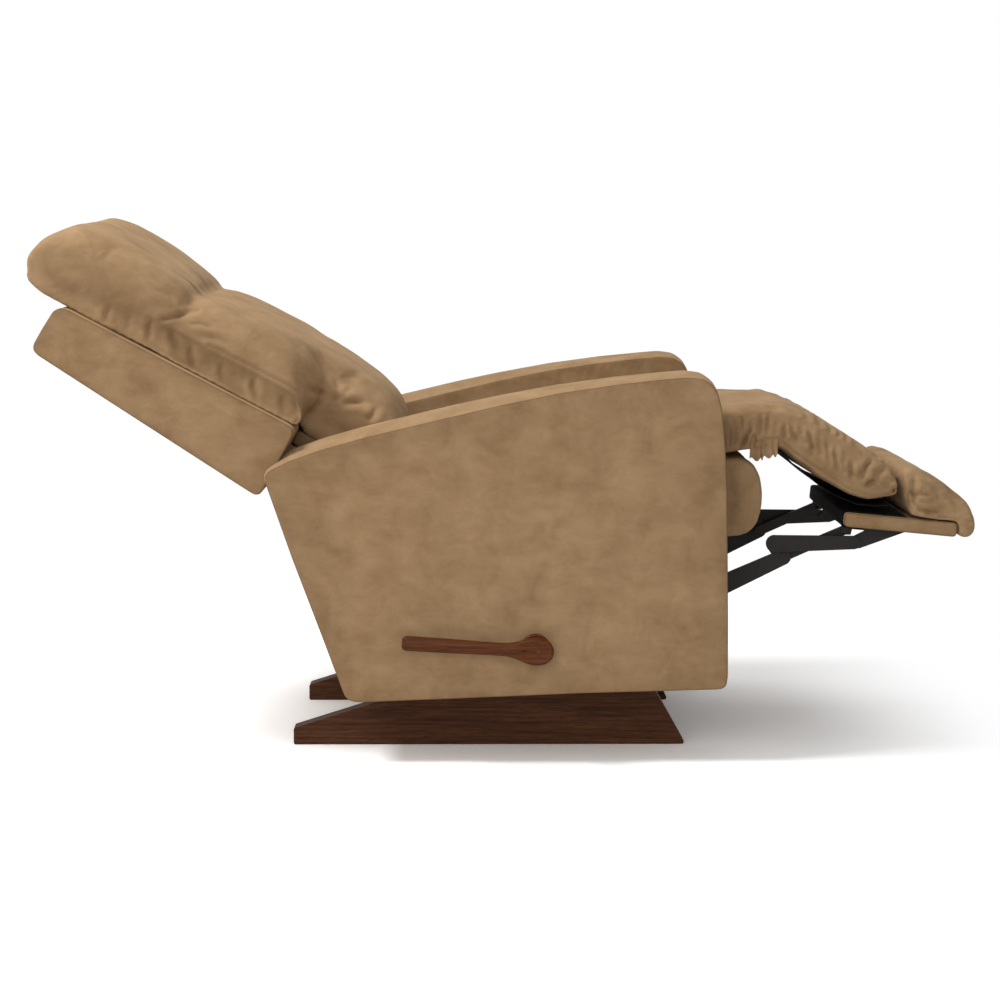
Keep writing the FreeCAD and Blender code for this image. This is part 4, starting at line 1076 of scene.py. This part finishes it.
toeLook = {
    **sideLook,
    "outline": [
        (746, 412), (744, 436), (737, 462), (730, 482), (732, 496), (745, 500), (781, 481), (805, 465),
        (826, 447), (848, 427), (859, 411), (863.5, 396), (862, 381), (854, 371), (841, 370),
        (834, 377), (833.5, 396), (829, 401.5), (785, 405),
    ],
    "count": 150,
    "softness": 3.2,
    "centre": (790, 410),
    "half": 239,
    "edge": 14.0,
    "drawLong": 0.02,
    "drawThick": 0.12,
    "along": unit(0.9956, -0.0941),
    "voxel": 4.6,
    "pressure": 4.0,
    "cap": 5.0,
    # each pair says where something begins and where it is full
    "flank": (0.3, 0.8),
    "sides": (110, 232),
    "looseAbove": (3, 20),
    "foldAbove": (1, 10),
    "topAbove": (20, 45),
    "wrapFrom": (832, 842),
    "wrapBelow": (420, 404),
    "endFrom": (846, 852),
    "endShare": 0.6,
    "tuck": (745, 446),
    "tuckDimple": (6, 10),
    "folds": [
        [(745, 446), (752, 466), (750, 486)], [(745, 446), (766, 452), (790, 450)],
        [(745, 446), (762, 438), (784, 432)], [(758, 428), (780, 420), (806, 418)],
        [(800, 452), (820, 440), (838, 420)], [(770, 470), (788, 462), (806, 452)],
    ],
    "foldSize": (3.4, 4.2),
    "lowFold": [(750, 436), (764, 421), (788, 411), (836, 403)],
    "lowFoldSize": (2.6, 2.4),
    "endGathers": {"high": 1.6, "pitch": 2.1, "wander": 1.5, "waves": (40, 66)},
    "frontGathers": {"high": 1.3, "pitch": 3.6, "wander": 2.0, "waves": (90, 67)},
    "topGathers": {"high": 1.2, "pitch": 7, "wander": 3, "waves": (120, 63)},
    "longWaves": (1.2, 150, 64),
    "shortWaves": (0.5, 45, 65),
}


def makeToe():
    look = toeLook
    piece = makeStuffed("toePad", [look])

    def rise(p):
        # height above the board's top
        rear, high = boardTop["rear"]
        return p[:, 2] - high + (p[:, 0] - rear) * math.tan(boardTop["fall"])

    swell(piece, look, lambda p: step(*look["looseAbove"], rise(p)))

    def fold(p, n):
        # folds and tuck on the flanks, gathers where it wraps the board's end, then slow waves
        flank = step(*look["flank"], abs(n[:, 1]))
        side = step(*look["sides"], abs(p[:, 1]))
        xz = np.stack([p[:, 0], p[:, 2]], -1)
        d = flank * creases(xz, look["folds"], *look["foldSize"])
        d += flank * dimple(p, look["tuck"], *look["tuckDimple"])
        d += flank * groove(xz, look["lowFold"], *look["lowFoldSize"])
        wrap = step(*look["wrapFrom"], p[:, 0]) * step(*look["wrapBelow"], p[:, 2])
        top = side * step(*look["topAbove"], rise(p)) * (1 - flank)
        d += wrap * flank * gathered(look["endGathers"], p[:, 2], p)
        d += wrap * (1 - flank) * gathered(look["frontGathers"], p[:, 1], p)
        d += top * gathered(look["topGathers"], p[:, 1], p)
        d += uneven(p, *look["longWaves"]) + uneven(p, *look["shortWaves"]) * side
        end = look["endShare"] * step(*look["endFrom"], p[:, 0])
        return d * np.maximum(step(*look["foldAbove"], rise(p)), end)

    press(piece, fold)
    seated(piece, "ottoman", "toe_pad")


makeToe()
print("stuffed pieces made")


def onBoard(points):
    # places along the ottoman board (a) and square to it (b) as X and Z
    a, b = np.array(points, float).T
    (x, z), fall = boardTop["rear"], boardTop["fall"]
    c, s = math.cos(fall), math.sin(fall)
    return np.stack([x + a * c + b * s, z - a * s + b * c], 1)


boardLook = {
    **shellLook,
    "outline": [(1, -4), (1, -21), (5, -25), (198, -25), (202, -22), (202, -3), (198, 0), (5, 0)],
    "count": 260,
    "softness": 2.4,
    "centre": None,
    "crown": 0.4,
    "half": 238,
    "rim": 4.0,
    "bead": 1.0,
    "bulge": 0.6,
    "boxingRings": 41,
    "ripple": 0.25,
    "hollow": 0.3,
    "seed": 15,
}
seated(makePanel("ottomanBoard", boardLook, onBoard), "ottoman", "ottoman_board")

lowerBackLook = {
    **shellLook,
    "outline": [(-140, 10), (-142, 22), (-138, 36), (30, 38), (58, 37), (60, 25), (58, 10), (30, 8)],
    "count": 200,
    "softness": 4.0,
    "centre": None,
    "crown": 1.0,
    "half": 235,
    "rim": 5.0,
    "bulge": 1.5,
    "boxingRings": 41,
    "hollow": 0.8,
    "seed": 16,
}
lowerBackPad = makePanel("lowerBackPad", lowerBackLook, onBack)
seated(lowerBackPad, "back", "lower_back_pad")


def addThickness(piece, look):
    thick = piece.modifiers.new("thickness", "SOLIDIFY")
    thick.thickness = look["thickness"] * mm
    thick.offset = 0


def gridFaces(rows, columns):
    # quads between the points of a grid, row by row
    r, c = np.meshgrid(np.arange(rows - 1), np.arange(columns - 1), indexing="ij")
    a = (r * columns + c).ravel()
    return np.stack([a, a + 1, a + 1 + columns, a + columns], -1).tolist()


liningLook = {
    "path": [(513, 529), (543, 498), (585, 465.5), (617, 445.5), (652, 431), (685, 428), (711, 430)],
    "half": 233,
    "along": 80,
    "across": 110,
    "wave": 0.7,
    "waveLength": 80,
    "seed": 71,
    "thickness": 1.2,
}
boardClothLook = {
    **liningLook,
    "path": onBoard([
        (112, 1.8), (60, 2.0), (8, 2.0), (1, 1.2), (-0.8, -2), (-1, -22), (1, -26), (6, -27), (40, -27),
    ]),
    "half": 225,
    "wave": 0.2,
    "seed": 72,
    "thickness": 0.8,
}


def makeCloth(name, look):
    # a strip of black cloth: the path carried across in Y, with small waves along its normal
    path, half = np.asarray(look["path"], float), look["half"]
    run = np.concatenate([[0], np.cumsum(np.linalg.norm(np.diff(path, axis=0), axis=1))])
    at = np.linspace(0, run[-1], look["along"])
    path = np.stack([np.interp(at, run, path[:, k]) for k in (0, 1)], 1)
    tangent = np.gradient(path, axis=0)
    normal = np.stack([tangent[:, 1], -tangent[:, 0]], 1) / np.linalg.norm(tangent, axis=1)[:, None]
    across = np.linspace(-half, half, look["across"])
    x, z = np.repeat(path[:, 0], len(across)), np.repeat(path[:, 1], len(across))
    p = np.stack([x, np.tile(across, len(path)), z], -1)
    lift = uneven(p, look["wave"], look["waveLength"], look["seed"])
    p += np.repeat(np.insert(normal, 1, 0, 1), len(across), 0) * lift[:, None]
    faces = gridFaces(len(path), len(across))
    piece = makePiece(name, p, faces, finishes["black_cloth"])
    addThickness(piece, look)
    return piece


seated(makeCloth("kneeLining", liningLook), "knee_rest", "knee_pad_lining")
seated(makeCloth("boardCloth", boardClothLook), "ottoman")

flapLook = {
    "from": 462.0,
    "to": 511.0,
    "top": 556.0,
    "side": 230.0,
    "drop": 42.0,
    "flare": 9.0,
    "fullness": 3.0,
    "pitch": 13.0,
    "wander": 1.3,
    "wanderLength": 11.0,
    "uneven": 0.07,
    "frontRise": 0.4,
    "frontFrom": 0.75,
    "slope": 3,
    "lag": 1.0,
    "scallop": 2.0,
    "scallops": 2.1,
    "sway": 2.5,
    "swayBeat": 0.5,
    "along": 90,
    "down": 26,
    "thickness": 1.6,
}


def makeFlap(name, side):
    # a short gathered skirt below the hem, hanging in folds that widen towards its lower edge:
    # fullness (1/4 + 3/4 t) sin(phase) t out of the side at t of the drop
    look = flapLook
    s, t = np.meshgrid(np.linspace(0, 1, look["along"]), np.linspace(0, 1, look["down"]))
    x = look["from"] + (look["to"] - look["from"]) * s
    phase = x / look["pitch"] * fullTurn + look["wander"] * np.sin(x / look["wanderLength"])
    depth = look["fullness"] * (0.25 + 0.75 * t) * np.sin(phase)
    front = look["frontRise"] * np.maximum(0, s - look["frontFrom"])
    drop = look["drop"] * (1 + look["uneven"] * np.sin(phase + look["lag"]) - front)
    scallop = look["scallop"] * np.sin(look["scallops"] * s * math.pi) * t
    z = look["top"] + look["slope"] * s - drop * t - scallop
    y = side * (look["side"] + look["flare"] * t + depth * t)
    p = np.stack([x + look["sway"] * t * np.sin(phase * look["swayBeat"]), y, z], -1)
    piece = makePiece(name, p.reshape(-1, 3), gridFaces(*x.shape), fabric)
    addThickness(piece, look)
    seated(piece, "seat")


makeFlap("hemFlapRight", -1)
makeFlap("hemFlapLeft", 1)


leverLook = {
    "hub": (78, 202),
    "tip": (-141, 216.4),
    "front": -437.0,
    "thickness": 14.0,
    "bevel": 4.5,
    "bevelRings": 8,
    "backBevel": 3.0,
    "backBevelRings": 5,
    # half width at each place along the lever, from beyond the hub to the tip
    "places": [-31, -29, -25, -19, -12, -4, 4, 12, 20, 28, 36, 45, 56, 80, 120, 160, 205, 224, 229],
    "widths": [
        3.0, 9.5, 15.5, 19.8, 22.4, 23.7, 23.6, 22.2, 19.6, 16.4, 13.8, 11.9, 10.9, 10.9, 11.6, 12.2,
        12.4, 12.4, 8.5,
    ],
    "count": 420,
    "softness": 2.2,
    "spineTo": 218,
    "bowl": (46, 14),
    "crown": 2.2,
    "dish": 1.4,
    "faceBack": 0.4,
    "faceShares": (0.0, 0.3, 0.6, 0.82, 0.94),
    "backShares": (0.7, 0.35),
    # the post behind the hub: way back from the front face, and radius
    "post": [
        (6, 4), (6, 17), (10, 21.5), (14, 21), (17, 18.6), (22, 17.6), (26, 18.6), (28.0, 20.5),
        (28.4, 20), (28.5, 4),
    ],
    "postSides": 96,
}


def makeLever():
    # the bar's outline is drawn in from face to face; the front is dished by dish (1 - share^2) in
    # the hub's bowl and crowned by crown (1 - share^2) along the bar
    look = leverLook
    hub, tip = np.array(look["hub"], float), np.array(look["tip"], float)
    along = (tip - hub) / np.linalg.norm(tip - hub)
    across = np.array([-along[1], along[0]])
    spine = hub + np.outer(np.array(look["places"], float), along)
    wide = np.outer(look["widths"], across)
    outline = np.vstack([spine + wide, (spine - wide)[::-1]])
    ring = ringThrough(outline, look["count"], look["softness"])
    normal = ringNormals(ring)
    front, back = look["front"], look["front"] + look["thickness"]
    bevel, backBevel = look["bevel"], look["backBevel"]
    place = (ring - hub) @ along
    middle = hub + np.outer(np.clip(place, 0, look["spineTo"]), along)
    bowl = step(*look["bowl"], place)
    grid = []
    for share in look["faceShares"]:
        xz = middle + (ring - normal * bevel - middle) * share
        lift = (look["crown"] * (1 - bowl) - look["dish"] * bowl) * (1 - share ** 2)
        grid.append((xz, front + look["faceBack"] - lift))
    for turn in np.linspace(0, math.pi / 2, look["bevelRings"]):
        inset, way = bevel * (1 - math.sin(turn)), bevel * (1 - math.cos(turn))
        grid.append((ring - normal * inset, front + way))
    for turn in np.linspace(0, math.pi / 2, look["backBevelRings"]):
        inset, way = backBevel * (1 - math.cos(turn)), backBevel * (1 - math.sin(turn))
        grid.append((ring - normal * inset, back - way))
    for share in look["backShares"]:
        grid.append((middle + (ring - normal * backBevel - middle) * share, back))
    rings = [np.stack([xz[:, 0], np.zeros(len(xz)) + y, xz[:, 1]], -1) for xz, y in grid]
    bar = makeShells("leverBar", [rings], finishes["handle_wood"])
    # the stub behind the hub is a turned post with a cove, down to the boss
    turn = np.linspace(0, fullTurn, look["postSides"], endpoint=False)
    x, z = np.cos(turn), np.sin(turn)
    rows = [np.stack([hub[0] + r * x, 0 * x + front + way, hub[1] + r * z], -1) for way, r in look["post"]]
    post = makeShells("leverPost", [rows], finishes["handle_wood"])
    seated(bar, "handle", "handle_lever", "handle_screw")
    seated(post, "handle")


makeLever()


mergeWithin = 0.02  # mm


def copied(node, name):
    # a merged copy of a CAD node's mesh, with its material
    mesh = frame["nodes"][node].data.copy()
    mesh.name = name
    piece = bpy.data.objects.new(name, mesh)
    bpy.context.scene.collection.objects.link(piece)
    weld = piece.modifiers.new("weld", "WELD")
    weld.merge_threshold = mergeWithin * mm
    return piece


def makeSprings():
    # a merged copy of the wound springs stands in for the CAD node
    piece = copied("rocker_springs", "rockerSprings")
    bake(piece)
    z = readPoints(piece)[:, 2] * mm
    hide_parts("rocker_springs")
    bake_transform(piece)


makeSprings()


easedLook = {"flatAngle": 1.0, "sharpAngle": 40, "segments": 3}


def eased(node, name, body, width):
    # a copy of a rigid node whose sharp edges get a small round
    piece = copied(node, name)
    flat = piece.modifiers.new("flat", "DECIMATE")
    flat.decimate_type = "DISSOLVE"
    flat.angle_limit = math.radians(easedLook["flatAngle"])
    rounded = piece.modifiers.new("rounded", "BEVEL")
    rounded.width = width * mm
    rounded.segments = easedLook["segments"]
    rounded.limit_method = "ANGLE"
    rounded.angle_limit = math.radians(easedLook["sharpAngle"])
    bake(piece)
    shade = piece.modifiers.new("shade", "WEIGHTED_NORMAL")
    shade.keep_sharp = True
    seated(piece, body, node)


for node, name, body, width in (
    ("base_rail_right", "baseRailRight", "base", 3.0),
    ("base_rail_left", "baseRailLeft", "base", 3.0),
    ("base_cross_rail_front", "baseCrossRailFront", "base", 2.0),
    ("base_cross_rail_rear", "baseCrossRailRear", "base", 2.0),
    ("long_link_right", "longLinkRight", "long_links", 0.7),
    ("long_link_left", "longLinkLeft", "long_links", 0.7),
    ("short_links", "shortLinks", "short_link_pair", 0.7),
    ("cross_links", "crossLinks", "cross_link_pair", 0.7),
):
    eased(node, name, body, width)


roomLook = {
    "size": 30.0,
    "fill": 0.46,
    "roughness": 0.9,
    "specular": 0.1,
    "floor": (0.82, 0.82, 0.82, 1),
    "floorSeen": (1.3, 1.3, 1.3, 1),
    "floorGlow": 0.06,
    # the seen floor turns plain white between these distances, and further ahead than those
    "middle": (-0.25, 0, 0),
    "squash": (0.8, 1, 1),
    "clear": (1.15, 2.3),
    "ahead": (0.55, 1.0),
    "white": (1, 1, 1, 1),
}


def looked(tree):
    # 1 for what the camera or a reflection sees, 0 for the light that reaches the object
    path = tree.nodes.new("ShaderNodeLightPath").outputs
    links = [(path["Is Camera Ray"], 0), (path["Is Glossy Ray"], 1)]
    return addNode(tree, "ShaderNodeMath", links, operation="MAXIMUM").outputs[0]


def mixed(tree, amount, a, b):
    # shader a where amount is 0, b where it is 1
    return addNode(tree, "ShaderNodeMixShader", [(amount, 0), (a, 1), (b, 2)]).outputs[0]


def smoothRise(tree, value, ends):
    node = addNode(
        tree, "ShaderNodeMapRange", [(value, "Value")], interpolation_type="SMOOTHSTEP",
        in_From_Min=ends[0], in_From_Max=ends[1],
    )
    return node.outputs["Result"]


def makeFloor():
    look = roomLook
    size = look["size"]
    mesh = bpy.data.meshes.new("floor")
    corners = [(-size, -size, 0), (size, -size, 0), (size, size, 0), (-size, size, 0)]
    mesh.from_pydata(corners, [], [(0, 1, 2, 3)])
    floor = bpy.data.objects.new("floor", mesh)
    bpy.context.scene.collection.objects.link(floor)
    material, tree, shader, place = startMaterial("floorPaint", look["roughness"], look["specular"])
    shader.inputs["Base Color"].default_value = look["floor"]
    # as the camera sees it: paper white that keeps the shadow, and plain white further out
    paper = addNode(tree, "ShaderNodeBsdfDiffuse", in_Color=look["floorSeen"])
    glow = addNode(tree, "ShaderNodeEmission", in_Color=look["white"], in_Strength=look["floorGlow"])
    lit = addNode(tree, "ShaderNodeAddShader", [(paper.outputs[0], 0), (glow.outputs[0], 1)])
    far = addNode(tree, "ShaderNodeEmission", in_Color=look["white"], in_Strength=1.0)
    shift = addNode(
        tree, "ShaderNodeMapping", [(place, "Vector")],
        in_Location=look["middle"], in_Scale=look["squash"],
    )
    away = addNode(tree, "ShaderNodeVectorMath", [(shift.outputs[0], 0)], operation="LENGTH")
    forward = addNode(tree, "ShaderNodeSeparateXYZ", [(place, 0)])
    rises = [
        (smoothRise(tree, away.outputs["Value"], look["clear"]), 0),
        (smoothRise(tree, forward.outputs["X"], look["ahead"]), 1),
    ]
    plain = addNode(tree, "ShaderNodeMath", rises, operation="MAXIMUM")
    seen = mixed(tree, plain.outputs[0], lit.outputs[0], far.outputs[0])
    mix = mixed(tree, looked(tree), shader.outputs[0], seen)
    tree.links.new(mix, tree.nodes["Material Output"].inputs["Surface"])
    mesh.materials.append(material)


def makeWorld():
    # even fill light on the object, white where the camera or a reflection looks past it
    world = bpy.data.worlds.new("room")
    bpy.context.scene.world = world
    world.use_nodes = True
    tree = world.node_tree
    fill = tree.nodes["Background"]
    fill.inputs["Color"].default_value = roomLook["white"]
    fill.inputs["Strength"].default_value = roomLook["fill"]
    plain = addNode(tree, "ShaderNodeBackground", in_Color=roomLook["white"], in_Strength=1.0)
    mix = mixed(tree, looked(tree), fill.outputs[0], plain.outputs[0])
    tree.links.new(mix, tree.nodes["World Output"].inputs["Surface"])


# place, the point that it is turned to, size across and power
lampLook = {
    "keyLamp": ((-2.4, -1.0, 3.6), (0.1, 0, 0.3), 1.3, 116),
    "topLamp": ((-0.2, 0.3, 3.8), (0, 0, 0.4), 2.2, 22),
    "frontLamp": ((-0.8, -4.6, 1.8), (0, 0, 0.4), 2.6, 58),
}


def addLamp(name, place, aim, size, power):
    data = bpy.data.lights.new(name, "AREA")
    data.shape = "DISK"
    data.size = size
    data.energy = power
    lamp = bpy.data.objects.new(name, data)
    bpy.context.scene.collection.objects.link(lamp)
    x, y, z = np.array(aim, float) - np.array(place, float)
    lamp.location = place
    lamp.rotation_euler = (math.atan2(math.hypot(x, y), -z), 0, math.atan2(x, -y) + math.pi)


makeFloor()
makeWorld()
for name, lamp in lampLook.items():
    addLamp(name, *lamp)
print("room lit")

cameraLook = {
    "place": (-0.0189, -4.7173, 0.9375),
    "yaw": 0.478,
    "pitch": 6.326,
    "sensor": 36,
    "focal": 2.546,  # in sensor widths
}
lens = bpy.data.cameras.new("camera")
lens.sensor_width = cameraLook["sensor"]
lens.lens = cameraLook["sensor"] * cameraLook["focal"]
camera = bpy.data.objects.new("camera", lens)
bpy.context.scene.collection.objects.link(camera)
camera.location = cameraLook["place"]
camera.rotation_euler = (math.radians(90 - cameraLook["pitch"]), 0, -math.radians(cameraLook["yaw"]))
bpy.context.scene.camera = camera
bpy.context.scene.view_settings.view_transform = "Standard"
